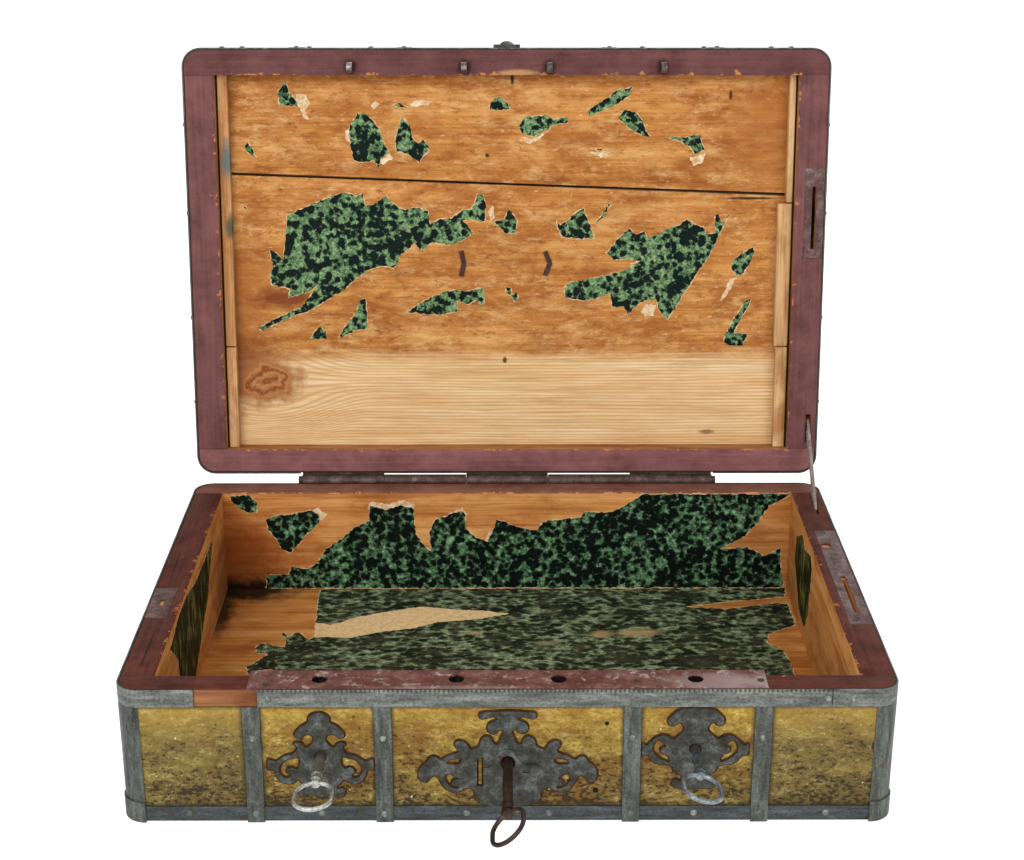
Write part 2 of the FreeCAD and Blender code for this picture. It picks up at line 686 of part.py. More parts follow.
def escutcheons():
    side_scale, centre_scale = mm.side_plate_scale, mm.centre_plate_scale
    centre_scrolls = (CENTRE_UPPER_SCROLL_SHARES, CENTRE_LOWER_SCROLL_SHARES)
    shield_hole = flat_face(SHIELD_HOLE_SHARES, centre_scale)
    shield = cut_plate(scroll_face(SHIELD_SHARES, centre_scale), [shield_hole], mm.keyhole_shield)
    plates = {
        "escutcheon_left": ("left", scroll_plate(LEFT_PLATE_SHARES, [LEFT_SCROLL_SHARES], side_scale)),
        "escutcheon_centre": ("centre", scroll_plate(CENTRE_PLATE_SHARES, centre_scrolls, centre_scale,
                                                     [CENTRE_SLOT_SHARES])),
        "escutcheon_right": ("right", scroll_plate(RIGHT_PLATE_SHARES, [RIGHT_SCROLL_SHARES], side_scale)),
        "keyhole_shield": ("centre", shield),
    }
    for name, (side, shape) in plates.items():
        face = f"{FRONT} - covering - plate" if name == "keyhole_shield" else f"{FRONT} - covering"
        blank = feature(name + "_blank", shape)
        bind(blank, _base_x=LOCKS[side].x, _base_y=face, _base_z=LOCKS[side].z)
        piece(cut(name, blank, KEYHOLES[side]), name)


escutcheons()



# Locks, bolts and keys
PIN_TIP = f"{FRONT} + lock_reach - lock_sheet - drill_pin_length"


def lock_case(side):
    low, high = LOCK_SPANS[side]
    lock = LOCKS[side]
    depth = (f"{FRONT} + lock_web", f"{FRONT} + lock_reach")
    floor = f"{lock.z} - lock_clear"
    shell = cut(f"{side}_lock_shell", block(f"{side}_lock_box", (low, high), depth, (floor, LOCK_TOP)),
                block(f"{side}_lock_room", (f"{low} + lock_sheet", f"{high} - lock_sheet"),
                      (f"{depth[0]} - overrun", f"{depth[1]} - lock_sheet"),
                      (f"{floor} + lock_sheet", f"{LOCK_TOP} + overrun")))
    pin_span = (f"{PIN_TIP}", f"{FRONT} + lock_reach - lock_sheet / 2")
    drill_pin = rod(f"{side}_drill_pin", "y", lock.x, pin_span, lock.z, "drill_pin_radius")
    if side == "centre":
        start, end = "centre_guide_start", "centre_guide_start + guide_width"
        high_z = "rim_height - shoulder_drop"
        low_z = f"{high_z} - bar_tall"
    else:
        sign = "-" if lock.hand < 0 else "+"
        ends = (f"{lock.x} {sign} guide_start", f"{lock.x} {sign} guide_start {sign} guide_width")
        start, end = ends if lock.hand > 0 else ends[::-1]
        high_z = "rim_height - finger_top"
        low_z = f"{high_z} - finger_tall"
    near = f"{FRONT} + bolt_depth - bolt_thick / 2 - slide_clearance"
    far = f"{FRONT} + bolt_depth + bolt_thick / 2 + slide_clearance"
    guide = block(f"{side}_guide_block", (start, end),
                  (f"{near} - guide_wall", f"{depth[1]} - lock_sheet / 2"),
                  (f"{low_z} - slide_clearance - guide_wall", f"{high_z} + slide_clearance + guide_wall"))
    way = block(f"{side}_guide_way", past((start, end)), (near, far),
                (f"{low_z} - slide_clearance", f"{high_z} + slide_clearance"))
    return fuse(f"lock_case_{side}", shell, drill_pin, cut(f"{side}_guide", guide, way))


def bolt_outline(side):
    """Corners of a bolt about its talon notch: (towards the throw's start, height)."""
    finger_high = mm.rim_height - mm.finger_top
    finger_low = finger_high - mm.finger_tall
    shoulder = mm.rim_height - mm.shoulder_drop
    talon = getattr(mm, LOCKS[side].z) + mm.talon_rise
    half_throw = mm.bolt_throw / 2
    roof = talon + mm.notch_tall
    notch = [(mm.notch_half, talon), (mm.notch_half, roof), (-mm.notch_half, roof), (-mm.notch_half, talon),
             (-mm.tail_half, talon)]
    if side != "centre":
        tip = mm.side_tip_gap - half_throw
        neck = half_throw + mm.neck_gap
        return [(tip, finger_high), (mm.bar_end, finger_high), (mm.bar_end, finger_low),
                (neck + mm.neck_width, finger_low), (neck + mm.neck_width, talon), *notch,
                (-mm.tail_half, shoulder), (neck, shoulder), (neck, finger_low), (tip, finger_low)]
    bar = shoulder - mm.bar_tall
    tips = [sign * mm.staple_spread + mm.centre_tip_gap - half_throw for sign in (-1, 1)]
    necks = [sign * mm.staple_spread + half_throw + mm.neck_gap for sign in (-1, 1)]
    ends = [neck + mm.neck_width for neck in necks]
    return [(tips[0], finger_high), (ends[0], finger_high), (ends[0], shoulder), (necks[1], shoulder),
            (necks[1], finger_low), (tips[1], finger_low), (tips[1], finger_high), (ends[1], finger_high),
            (ends[1], bar), (mm.tail_half, bar), (mm.tail_half, talon), *notch, (-mm.tail_half, bar),
            (necks[0], bar), (necks[0], finger_low), (tips[0], finger_low)]


def bolt(side):
    lock = LOCKS[side]
    turned = HALF_TURN - lock.turn if lock.hand < 0 else lock.turn
    notch_place = mm.bolt_throw * (1 / 2 - turned / HALF_TURN)
    outline = [(lock.hand * (notch_place + along), up) for along, up in bolt_outline(side)]
    item = padded_outline(f"lock_bolt_{side}", "XZ_Plane", [outline], "bolt_thick")
    bind(item, _base_x=lock.x, _base_y=f"{FRONT} + bolt_depth")
    return item


def swept_tube(edges, start, heading, radius):
    profile = Part.Wire(Part.makeCircle(radius, start, heading))
    return Part.Wire(edges).makePipeShell([profile], True, True)


def bow(reach):
    """Oval bow in the key's own plane, its near end on the shank."""
    half = mm.bow_width / 2 - mm.bow_stock_radius
    run = mm.bow_length - mm.bow_width
    near = front_y - reach - half
    far = near - run
    corners = [Vector(sign * half, y, 0) for y in (near, far) for sign in (-1, 1)]
    arcs = [Part.Arc(corners[0], Vector(0, near + half, 0), corners[1]),
            Part.Arc(corners[3], Vector(0, far - half, 0), corners[2])]
    path = [arcs[0].toShape(), Part.makeLine(corners[1], corners[3]), arcs[1].toShape(),
            Part.makeLine(corners[2], corners[0])]
    return swept_tube(path, corners[0], Vector(0, 1, 0), mm.bow_stock_radius)


def key(side):
    """Key with its bit towards +X and its bow flat, then turned about its shank as it stands in the lock."""
    lock = LOCKS[side]
    tail = f"{FRONT} - {lock.reach}"
    bit_span = (f"{FRONT} + bit_start", f"{FRONT} + bit_start + bit_width")
    shank_span = (f"{tail} - bow_stock_radius", f"{FRONT} + key_seat")
    shank = rod(f"{side}_shank", "y", "0", shank_span, "0", lock.shank)
    collars = []
    for count, middle in COLLAR_STEPS.items():
        span = around(f"{tail} + {middle} * collar_width", "collar_width")
        collars.append(rod(f"{side}_collar_{count}", "y", "0", span, "0",
                           f"{lock.shank} + collar_growth / {count}"))
    bit = block(f"{side}_bit", ("0", "bit_radius"), bit_span, ("-bit_thick / 2", "bit_thick / 2"))
    ward = block(f"{side}_ward", (f"{WARD_SHARES[0]} * bit_radius", f"{WARD_SHARES[1]} * bit_radius"),
                 (f"{bit_span[1]} - ward_cut", f"{bit_span[1]} + overrun"), ("-bit_thick", "bit_thick"))
    bore = rod(f"{side}_key_bore", "y", "0", past((PIN_TIP, shank_span[1])), "0",
               "drill_pin_radius + running_clearance")
    loop = feature(f"{side}_bow", bow(getattr(mm, lock.reach)))
    item = cut(f"key_{side}", fuse(f"{side}_key_blank", shank, loop, bit, *collars), bore, ward)
    item.Placement = Placement(Vector(), Rotation(Vector(0, -1, 0), lock.turn))
    bind(item, _base_x=lock.x, _base_z=lock.z)
    return item


for side in LOCKS:
    piece(lock_case(side), f"lock_case_{side}")
    piece(bolt(side), f"lock_bolt_{side}")
    piece(key(side), f"key_{side}")


# Plates let into the rim
def rim_fittings():
    selvage = block("selvage_blank", ("-selvage_half", "selvage_half"), (FRONT, f"{FRONT} + lock_reach"),
                    (LOCK_TOP, "rim_height"))
    holes = [rod(f"staple_hole_{index}", "z", place, f"{FRONT} + bolt_depth", past((LOCK_TOP, "rim_height")),
                 "staple_hole_radius") for index, place in enumerate(STAPLES)]
    piece(cut("selvage_plate", selvage, *holes), "selvage_plate")

    sheet_z = ("rim_height - rim_plate", "rim_height")
    plate = block("rim_slot_blank", (f"{RIGHT} - rim_plate_width", RIGHT),
                  ("-right_plate_front", "right_plate_back"), sheet_z)
    peg = rod("peg_hole", "z", f"{RIGHT} - rim_plate_width / 2 - slot_width", "peg_hole_place", past(sheet_z),
              "peg_hole_radius")
    slot = block("rim_slot", SLOT_X, ("-slot_front", "-slot_back"), past(sheet_z))
    piece(cut("rim_slot_plate", plate, slot, peg), "rim_slot_plate")

    catch_y = "(-left_plate_front - left_plate_back) / 2"
    catch = block("rim_catch_blank", (LEFT, f"{LEFT} + rim_plate_width"),
                  ("-left_plate_front", "-left_plate_back"), sheet_z)
    oval = block("catch_hole", around(f"{LEFT} + slot_inset", "slot_width"),
                 around(catch_y, "catch_hole_length"), past(sheet_z))
    piece(cut("rim_catch_plate", catch, oval), "rim_catch_plate")


rim_fittings()


# Lid frame, boards and battens
def staple_outline():
    outer, inner = mm.staple_outer / 2, mm.staple_inner / 2
    foot = -mm.staple_drop
    wall = outer - inner
    return [(-outer, foot + outer), (0, foot, outer, foot + outer), (outer, mm.staple_drive),
            (inner, mm.staple_drive), (inner, foot + outer), (0, foot + wall, -inner, foot + outer),
            (-inner, mm.staple_drive), (-outer, mm.staple_drive)]


def lid_staples():
    staples = []
    for index, place in enumerate(STAPLES):
        staples.append(padded_outline(f"staple_{index}", "YZ_Plane", [staple_outline()], "staple_width"))
        bind(staples[-1], _base_x=place, _base_y=f"{FRONT} + bolt_depth", _base_z=LID)
    return group("staple_set", staples)


def lid_frame():
    frame = (LID, f"{LID} + lid_recess")
    inner_y = (f"{FRONT} + lid_front_rail", f"{BACK} - lid_back_rail")
    staples = lid_staples()
    front = rounded("lid_front_blank", block("lid_front_stick", (LEFT, RIGHT), (FRONT, inner_y[0]), frame),
                    mm.corner_radius, (("left", "front"), ("right", "front")))
    shank = rod("knob_shank_hole", "y", "0", past((FRONT, inner_y[0])), f"{LID} + knob_place",
                "knob_shank_radius")
    piece(cut("lid_front_rail", front, staples, shank), "lid_front_rail", True)
    piece(group("lid_staples", [staples]), "lid_staples", True)
    back = rounded("lid_back_rail", block("lid_back_stick", (LEFT, RIGHT), (inner_y[1], BACK), frame),
                   mm.corner_radius, (("left", "back"), ("right", "back")))
    piece(back, "lid_back_rail", True)

    left = block("lid_left_stick", (LEFT, f"{LEFT} + lid_side_rail"), inner_y, frame)
    piece(group("lid_left_rail", [left]), "lid_left_rail", True)

    right = block("lid_right_stick", (f"{RIGHT} - lid_side_rail", RIGHT), inner_y, frame)
    plate_y = ("-lid_plate_front", "-lid_plate_back")
    plate_x = (f"{RIGHT} - rim_plate_width", RIGHT)
    slot_y = ("-slot_front", "-slot_back - slot_inset")
    seat = block("lid_plate_seat", (plate_x[0], f"{RIGHT} + overrun"), plate_y,
                 (f"{LID} - overrun", f"{LID} + rim_plate"))
    slot = block("lid_slot_mortise", SLOT_X, slot_y, (LID, f"{LID} + rim_plate + slot_depth"))
    mortise = block("lid_stay_mortise", around(STAY_X, "stay_mortise"),
                    (f"{STAY_Y} - stay_width", f"{STAY_Y} + stay_room_back + stay_width / 2"),
                    (f"{LID} - overrun", f"{LID} + stay_room_above"))
    piece(cut("lid_right_rail", right, seat, slot, mortise, pivot), "lid_right_rail", True)
    piece(group("stay_pivot_pin", [pivot]), "stay_pivot_pin", True)
    plate = block("lid_slot_blank", plate_x, plate_y, (LID, f"{LID} + rim_plate"))
    opening = block("lid_slot", SLOT_X, slot_y, past((LID, f"{LID} + rim_plate")))
    piece(cut("lid_slot_plate", plate, opening), "lid_slot_plate", True)


def eye_leg_holes(name, span):
    return [rod(f"{name}_{side}", "z", place, "0", past(span), "eye_leg_radius")
            for side, place in (("left", "-eye_spread"), ("right", "eye_spread"))]


def lid_boards():
    depth = (f"{LID} + lid_recess", f"{LID} + lid_recess + lid_board")
    half_x, half_y = mm.case_length / 2 + mm.overrun, mm.case_depth / 2 + mm.overrun
    legs = eye_leg_holes("eye_leg_hole", depth)
    for name, edge, shift in (("lid_front_board", -half_y, -mm.lid_seam_gap / 2),
                              ("lid_back_board", half_y, mm.lid_seam_gap / 2)):
        corners = [(-half_x, edge), (half_x, edge), (half_x, -mm.lid_seam_right + shift),
                   (-half_x, -mm.lid_seam_left + shift)]
        reach = f"2 * ({depth[1]} + overrun)"
        region = padded_outline(name + "_region", "XY_Plane", [corners], reach)
        board = common(name + "_plank", slab(name + "_slab", "0", depth), region)
        piece(board if name == "lid_front_board" else cut(name, board, *legs), name, True)


def lid_battens():
    z = (f"{LID} + lid_recess - batten_height", f"{LID} + lid_recess")
    ends = (f"{FRONT} + lid_front_rail", f"{BACK} - lid_back_rail")
    left_x = f"{LEFT} + lid_side_rail"
    right_x = f"{RIGHT} - lid_side_rail"
    back_split = f"{BACK} - lid_back_rail - batten_split_back"
    strip = (left_x, f"{left_x} + left_batten")
    left = [block("left_batten_front", strip, (ends[0], f"{back_split} - batten_joint"), z),
            block("left_batten_back", strip, (back_split, ends[1]), z)]
    piece(group("lid_left_battens", left), "lid_left_battens", True)
    spans = {"right_batten_front": (ends[0], "-batten_split_front - batten_joint"),
             "right_batten_middle": ("-batten_split_front", f"{back_split} - batten_joint"),
             "right_batten_back": (back_split, ends[1])}
    right = [block(name + "_strip", (f"{right_x} - {name}", right_x), span, z)
             for name, span in spans.items()]
    piece(group("lid_right_battens", right), "lid_right_battens", True)


lid_frame()
lid_boards()
lid_battens()


# Covering, bands, handle and knob of the lid
def lid_binding():
    top = "lid_recess + lid_board"
    shell = cut("lid_skin", slab("lid_skin_outer", "covering", (LID, f"{LID} + {top} + covering")),
                slab("lid_skin_inner", "0", (f"{LID} - overrun", f"{LID} + {top}")))
    legs = eye_leg_holes("covering_leg_hole", (f"{LID} + {top}", f"{LID} + {top} + covering"))
    shank = rod("covering_shank_hole", "y", "0", past((f"{FRONT} - covering", FRONT)), f"{LID} + knob_place",
                "knob_shank_radius")
    piece(cut("lid_covering", shell, shank, *legs), "lid_covering", True)

    band_z = (LID, f"{LID} + lid_band_height")
    hinge_room = block("lid_band_hinge_room", around("0", "(hinge_length + 2 * leaf_margin)"),
                       ("0", f"{BACK} + covering + band + overrun"), past(band_z))
    band = ring("lid_band_ring", "covering", "covering + band", band_z)
    piece(cut("lid_rim_band", band, hinge_room), "lid_rim_band", True)

    near, far = (mm.case_depth / 2 + mm.covering + count * mm.band for count in (0, 1))
    front_foot = lid_z + mm.lid_band_height
    back_foot = mm.rim_height + mm.lid_leaf_rise + mm.leaf_margin
    outline = [(-far, front_foot), (-far, lid_top + mm.band), (far, lid_top + mm.band), (far, back_foot),
               (near, back_foot), (near, lid_top), (-near, lid_top), (-near, front_foot)]
    straps = []
    for side, place in STRAPS.items():
        straps.append(padded_outline(f"lid_strap_{side}", "YZ_Plane", [outline], "strap_width"))
        bind(straps[-1], _base_x=place)
    piece(group("lid_straps", straps), "lid_straps", True)


def split_pin_eye(sign, lean):
    """An eye whose split shank goes through the lid and is clenched up and down on the panel."""
    x = sign * mm.eye_spread
    axis_z = lid_top + mm.eye_rise
    foot = lid_z + mm.lid_recess - mm.clench_thick
    loop = Part.makeTorus(mm.eye_radius, mm.eye_stock, Vector(x, 0, axis_z), Vector(1, 0, 0))
    parts = [Part.makeCylinder(mm.eye_leg_radius, axis_z - mm.eye_radius - foot, Vector(x, 0, foot))]
    for heading in (-1, 1):
        corner = Vector(-mm.clench_width / 2, 0, 0)
        leaf = Part.makeBox(mm.clench_width, mm.clench_length, mm.clench_thick, corner)
        turn = lean if heading > 0 else HALF_TURN - lean
        leaf.Placement = Placement(Vector(x, 0, foot), Rotation(Vector(0, 0, 1), turn))
        parts.append(leaf)
    return loop.fuse(parts).removeSplitter()


def lid_hardware():
    eyes = [split_pin_eye(-1, mm.left_clench_lean), split_pin_eye(1, mm.right_clench_lean)]
    piece(feature("handle_eyes", Part.makeCompound(eyes)), "handle_eyes", True)

    half, drop, bend = mm.eye_spread - mm.bail_bend, mm.bail_drop, mm.bail_bend
    turn = bend * (1 - math.sqrt(0.5))
    end = mm.eye_spread + mm.bail_end
    corners = [Vector(-end, 0, 0), Vector(-half - bend, 0, 0), Vector(-half, 0, -bend),
               Vector(-half, 0, bend - drop), Vector(bend - half, 0, -drop)]
    mirrored = [Vector(-point.x, 0, point.z) for point in reversed(corners)]
    mids = [Vector(-half - turn, 0, -turn), Vector(turn - half, 0, turn - drop)]
    path = [Part.makeLine(corners[0], corners[1]), Part.Arc(corners[1], mids[0], corners[2]).toShape(),
            Part.makeLine(corners[2], corners[3]), Part.Arc(corners[3], mids[1], corners[4]).toShape(),
            Part.makeLine(corners[4], mirrored[0]),
            Part.Arc(mirrored[0], Vector(-mids[1].x, 0, mids[1].z), mirrored[1]).toShape(),
            Part.makeLine(mirrored[1], mirrored[2]),
            Part.Arc(mirrored[2], Vector(-mids[0].x, 0, mids[0].z), mirrored[3]).toShape(),
            Part.makeLine(mirrored[3], mirrored[4])]
    bail = feature("bail_handle", swept_tube(path, corners[0], Vector(1, 0, 0), mm.bail_stock))
    bail.Placement = Placement(swung_open.multVec(Vector(0, 0, lid_top + mm.eye_rise)), Rotation())
    piece(bail, "bail_handle")

    place = Vector(0, front_y - mm.covering - mm.band, lid_z + mm.knob_place)
    out = Vector(0, -1, 0)
    rosette = Part.makeCylinder(mm.rosette_radius, mm.rosette, place, out)
    dome_radius = (mm.knob_radius ** 2 + mm.knob_height ** 2) / (2 * mm.knob_height)
    dome = Part.makeSphere(dome_radius, place + out * (mm.rosette + mm.knob_height - dome_radius))
    head = dome.common(Part.makeCylinder(mm.rosette_radius, mm.rosette_radius, place + out * mm.rosette, out))
    inside = mm.band + mm.covering + mm.lid_front_rail
    shank = Part.makeCylinder(mm.knob_shank_radius, inside + mm.clench_thick, place, Vector(0, 1, 0))
    corner = Vector(-mm.clench_width / 2, inside, mm.knob_shank_radius - mm.knob_clench)
    clench = Part.makeBox(mm.clench_width, mm.clench_thick, mm.knob_clench, place + corner)
    piece(feature("lid_knob", rosette.fuse([head, shank, clench]).removeSplitter()), "lid_knob", True)


lid_binding()
lid_hardware()


# Hinge
def hinge_leaf(name, indices, plate_z, web_z, on_lid):
    axis_y = f"{BACK} + covering + hinge_setback"
    face = f"{BACK} + covering"
    pitch = f"hinge_length / {KNUCKLES}"
    length = around("0", "hinge_length")
    parts = [block(name + "_plate", length, (face, f"{face} + leaf"), plate_z)]
    for index in indices:
        span = (f"-hinge_length / 2 + {index} * {pitch} + knuckle_gap / 2",
                f"-hinge_length / 2 + {index + 1} * {pitch} - knuckle_gap / 2")
        parts.append(block(f"{name}_web_{index}", span, (face, axis_y), web_z))
        parts.append(rod(f"{name}_barrel_{index}", "x", span, axis_y, "rim_height", "barrel_radius"))
    bore = rod(name + "_bore", "x", past(length), axis_y, "rim_height",
               "hinge_pin_radius + running_clearance")
    piece(cut(name, fuse(name + "_blank", *parts), bore), name, on_lid)


hinge_leaf("case_hinge_leaf", (1, 3), ("rim_height - case_leaf_drop", "rim_height - leaf_step"),
           ("rim_height - barrel_radius", "rim_height - leaf_step"), False)
hinge_leaf("lid_hinge_leaf", (0, 2, 4), ("rim_height + leaf_step", "rim_height + lid_leaf_rise"),
           ("rim_height + leaf_step", "rim_height + barrel_radius"), True)
pin_end = "hinge_length / 2 + slide_clearance"
pin_y = f"{BACK} + covering + hinge_setback"
pin_span = (f"-({pin_end} + hinge_pin_head)", f"{pin_end} + hinge_pin_head")
pin_parts = [rod("pin_shank", "x", pin_span, pin_y, "rim_height", "hinge_pin_radius")]
for side, sign in (("left", "-"), ("right", "")):
    ends = (f"{sign}({pin_end})", f"{sign}({pin_end} + hinge_pin_head)")
    pin_parts.append(rod(f"pin_head_{side}", "x", ends[::-1] if sign else ends, pin_y, "rim_height",
                         "hinge_pin_head_radius"))
piece(fuse("hinge_pin", *pin_parts), "hinge_pin")


# Slotted stay between the lid's right rail and the case's right board
def lid_stay():
    radius = math.hypot(mm.stay_reach, mm.stay_rise)
    lean = math.degrees(math.atan2(mm.stay_rise, mm.stay_reach))
    open_span = 2 * radius * math.sin(math.radians(mm.open_angle / 2 + lean))
    room = mm.stay_pin_radius + mm.slide_clearance
    half = mm.stay_width / 2
    first, last = -2 * mm.stay_rise, -open_span
    foot = last - room - mm.stay_end + half
    rim = [(half, 0), (0, half, -half, 0), (-half, foot), (0, foot - half, half, foot)]
    slot = [(room, first), (0, first + room, -room, first), (-room, last), (0, last - room, room, last)]
    stay = padded_outline("lid_stay", "YZ_Plane", [rim, slot], "stay_thick")
    hole = stay.newObject("Sketcher::SketchObject", "stay_pivot_hole")
    hole.AttachmentSupport = [(next(o for o in stay.Origin.OriginFeatures if o.Role == "YZ_Plane"), "")]
    hole.MapMode = "FlatFace"
    hole.addGeometry(Part.Circle(Vector(), Vector(0, 0, 1), mm.stay_pin_radius + mm.running_clearance), False)
    pocket = stay.newObject("PartDesign::Pocket", "stay_pivot_pocket")
    pocket.Profile = hole
    pocket.Type = "ThroughAll"
    pocket.SideType = "Symmetric"
    shut_pivot = Vector(mm.case_length / 2 - mm.stay_inset, hinge_y - mm.stay_reach,
                        mm.rim_height + mm.stay_rise)
    stay.Placement = Placement(swung_open.multVec(shut_pivot), Rotation(Vector(1, 0, 0), -mm.open_angle / 2))
    piece(stay, "lid_stay")


lid_stay()


# Nails
def nail(place, out):
    crown_radius = mm.nail_head_radius * NAIL_TAPER_SHARE
    head = Part.makeCone(mm.nail_head_radius, crown_radius, mm.nail_head_height, place, out)
    return head.fuse(Part.makeCylinder(mm.nail_shank_radius, mm.nail_length, place, -out)).removeSplitter()


def nail_spreads():
    """Places of the band nails from the middle of a side: rim front, base front, and the two ends."""
    end, depth = mm.case_length / 2, mm.case_depth / 2
    corner = end - mm.corner_nail_inset
    return ((mm.rim_nail_inner, mm.rim_nail_outer, corner - mm.corner_nail_pitch, corner),
            (mm.base_nail_inner, mm.base_nail_outer, end - mm.base_nail_inset),
            (mm.side_nail_place, depth - mm.side_nail_inset))


def case_nails():
    half_x, half_y = mm.case_length / 2, mm.case_depth / 2
    raised, lapped = (mm.covering + count * mm.band for count in (1, 2))
    rim_z = mm.rim_height - mm.rim_nail_drop
    rim_spreads, base_spreads, side_spreads = nail_spreads()
    base_z = mm.base_band_lift + mm.base_band_height / 2
    nails = []
    for facing in (-1, 1):
        out = Vector(0, facing, 0)
        for spread in (mm.strap_spread_inner, mm.strap_spread_outer):
            for x in (-spread, spread):
                nails.append(nail(Vector(x, facing * (half_y + raised), mm.upper_nail_height), out))
                nails.append(nail(Vector(x, facing * (half_y + lapped), base_z), out))
        for sign in (-1, 1):
            nails += [nail(Vector(sign * x, facing * (half_y + raised), base_z), out) for x in base_spreads]
            nails += [nail(Vector(sign * x, facing * (half_y + raised), rim_z), out)
                      for x in (rim_spreads if facing < 0 else rim_spreads[2:])]
        out = Vector(facing, 0, 0)
        for y in (-mm.side_strap_spread, mm.side_strap_spread):
            nails.append(nail(Vector(facing * (half_x + raised), y, mm.upper_nail_height), out))
            nails.append(nail(Vector(facing * (half_x + lapped), y, base_z), out))
        for y in (sign * spread for sign in (-1, 1) for spread in side_spreads):
            nails.append(nail(Vector(facing * (half_x + raised), y, rim_z), out))
            nails.append(nail(Vector(facing * (half_x + raised), y, base_z), out))
    piece(feature("case_nails", Part.makeCompound(nails)), "case_nails")


def lid_nails():
    rim_spreads, _, side_spreads = nail_spreads()
    face = mm.case_depth / 2 + mm.covering + mm.band
    end = mm.case_length / 2 + mm.covering + mm.band
    band_z = lid_z + mm.lid_band_height / 2
    front_z = lid_z + (mm.lid_band_height + mm.lid_recess + mm.lid_board) / 2
    front, upwards = Vector(0, -1, 0), Vector(0, 0, 1)
    nails = []
    for sign in (-1, 1):
        for x in (sign * mm.strap_spread_inner, sign * mm.strap_spread_outer):
            nails.append(nail(Vector(x, -face, front_z), front))
            nails += [nail(Vector(x, side * y, lid_top + mm.band), upwards)
                      for y in (mm.strap_turn, mm.strap_turn + mm.side_strap_spread) for side in (-1, 1)]
        nails += [nail(Vector(sign * x, -face, band_z), front) for x in rim_spreads]
        nails += [nail(Vector(sign * end, side * y, band_z), Vector(sign, 0, 0))
                  for y in side_spreads for side in (-1, 1)]
    piece(feature("lid_nails", Part.makeCompound(nails)), "lid_nails", True)


case_nails()
lid_nails()


# Paper lining, where it is left
def paper(patches, corner, across, up, normal):
    """Thin sheets on one panel: corner is its share origin, across and up its edges, normal its thickness."""
    sheets = []
    for patch in patches:
        points = [corner + across * share_x + up * share_y for share_x, share_y in patch]
        sheets.append(Part.Face(Part.makePolygon(points + points[:1])).extrude(normal * mm.paper))
    return sheets


def lining():
    inner_x = mm.case_length / 2 - mm.side_wall
    lower_y, upper_y = front_y + mm.front_wall, mm.case_depth / 2 - mm.back_wall
    wall = mm.rim_height - mm.bottom_thick
    floor = mm.bottom_thick
    side = Vector(2 * inner_x, 0, 0)
    deep = Vector(0, upper_y - lower_y, 0)
    tall = Vector(0, 0, wall)
    sheets = paper(BACK_PAPER_SHARES, Vector(-inner_x, upper_y, floor), side, tall, Vector(0, -1, 0))
    sheets += paper(FLOOR_PAPER_SHARES, Vector(-inner_x, lower_y, floor), side, deep, Vector(0, 0, 1))
    sheets += paper(WALL_PAPER_SHARES, Vector(-inner_x, lower_y, floor), deep, tall, Vector(1, 0, 0))
    sheets += paper(WALL_PAPER_SHARES, Vector(inner_x, lower_y, floor), deep, tall, Vector(-1, 0, 0))
    piece(feature("paper_case", Part.makeCompound(sheets)), "paper_case")
    panel_x = mm.case_length / 2 - mm.lid_side_rail - mm.right_batten_middle
    near, far = mm.case_depth / 2 - mm.lid_back_rail, front_y + mm.lid_front_rail
    solids = paper(LID_PAPER_SHARES, Vector(-panel_x, near, lid_z + mm.lid_recess), Vector(2 * panel_x, 0, 0),
                   Vector(0, far - near, 0), Vector(0, 0, -1))
    piece(feature("paper_lid", Part.makeCompound(solids)), "paper_lid", True)


lining()

# Build, check and write
doc.recompute()
for item in doc.Objects:
    if "Invalid" in item.State or "Error" in item.State:
        raise RuntimeError(f"{item.Name} did not build: {item.State}")
os.makedirs("parts", exist_ok=True)
for item in pieces:
    if item.Shape.isNull() or not item.Shape.isValid() or not item.Shape.Solids:
        raise RuntimeError(f"{item.Label} has no valid solid")
for item in pieces:
    item.Shape.exportStep(f"parts/{item.Label}.step")
print(len(pieces), "sub-parts,", sum(len(item.Shape.Solids) for item in pieces), "solids")
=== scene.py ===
# %% [markdown]
# # An iron-bound coffer with its lid open
# The chest is a low pine box under a thin ochre ground, bound with iron straps, with three locks in the
# front. Its boards, irons, locks and hinge come in from the solid model; this lesson ages them and adds
# what a solid model leaves out: the torn lining paper, the small rivets and every finish. Keeping the box
# as it is measured now, before anything is added, lets the last cell show how much the chest grew.

# %% load the chest
import json
import math
import random

import bpy
from mathutils import Matrix, Vector


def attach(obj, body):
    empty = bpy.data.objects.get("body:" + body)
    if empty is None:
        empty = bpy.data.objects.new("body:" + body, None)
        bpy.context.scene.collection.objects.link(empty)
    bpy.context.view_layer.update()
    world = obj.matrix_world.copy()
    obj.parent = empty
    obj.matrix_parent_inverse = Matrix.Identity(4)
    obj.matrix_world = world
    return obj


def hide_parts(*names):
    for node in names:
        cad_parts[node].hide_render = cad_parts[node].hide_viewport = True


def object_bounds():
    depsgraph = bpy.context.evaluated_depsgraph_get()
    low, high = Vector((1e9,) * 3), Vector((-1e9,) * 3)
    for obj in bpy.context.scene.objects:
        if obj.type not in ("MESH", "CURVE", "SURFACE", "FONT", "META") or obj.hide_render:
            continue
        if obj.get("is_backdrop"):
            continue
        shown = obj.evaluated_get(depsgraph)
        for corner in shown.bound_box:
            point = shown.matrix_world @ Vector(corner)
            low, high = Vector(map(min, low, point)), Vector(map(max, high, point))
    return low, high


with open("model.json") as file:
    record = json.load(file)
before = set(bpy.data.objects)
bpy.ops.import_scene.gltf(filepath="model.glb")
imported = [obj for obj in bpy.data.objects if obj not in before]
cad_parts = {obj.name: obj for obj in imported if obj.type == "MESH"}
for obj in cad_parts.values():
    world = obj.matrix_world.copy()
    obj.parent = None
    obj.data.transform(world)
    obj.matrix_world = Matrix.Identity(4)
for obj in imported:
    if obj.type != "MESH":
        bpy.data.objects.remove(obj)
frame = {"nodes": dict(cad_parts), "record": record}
nodes = frame["nodes"]
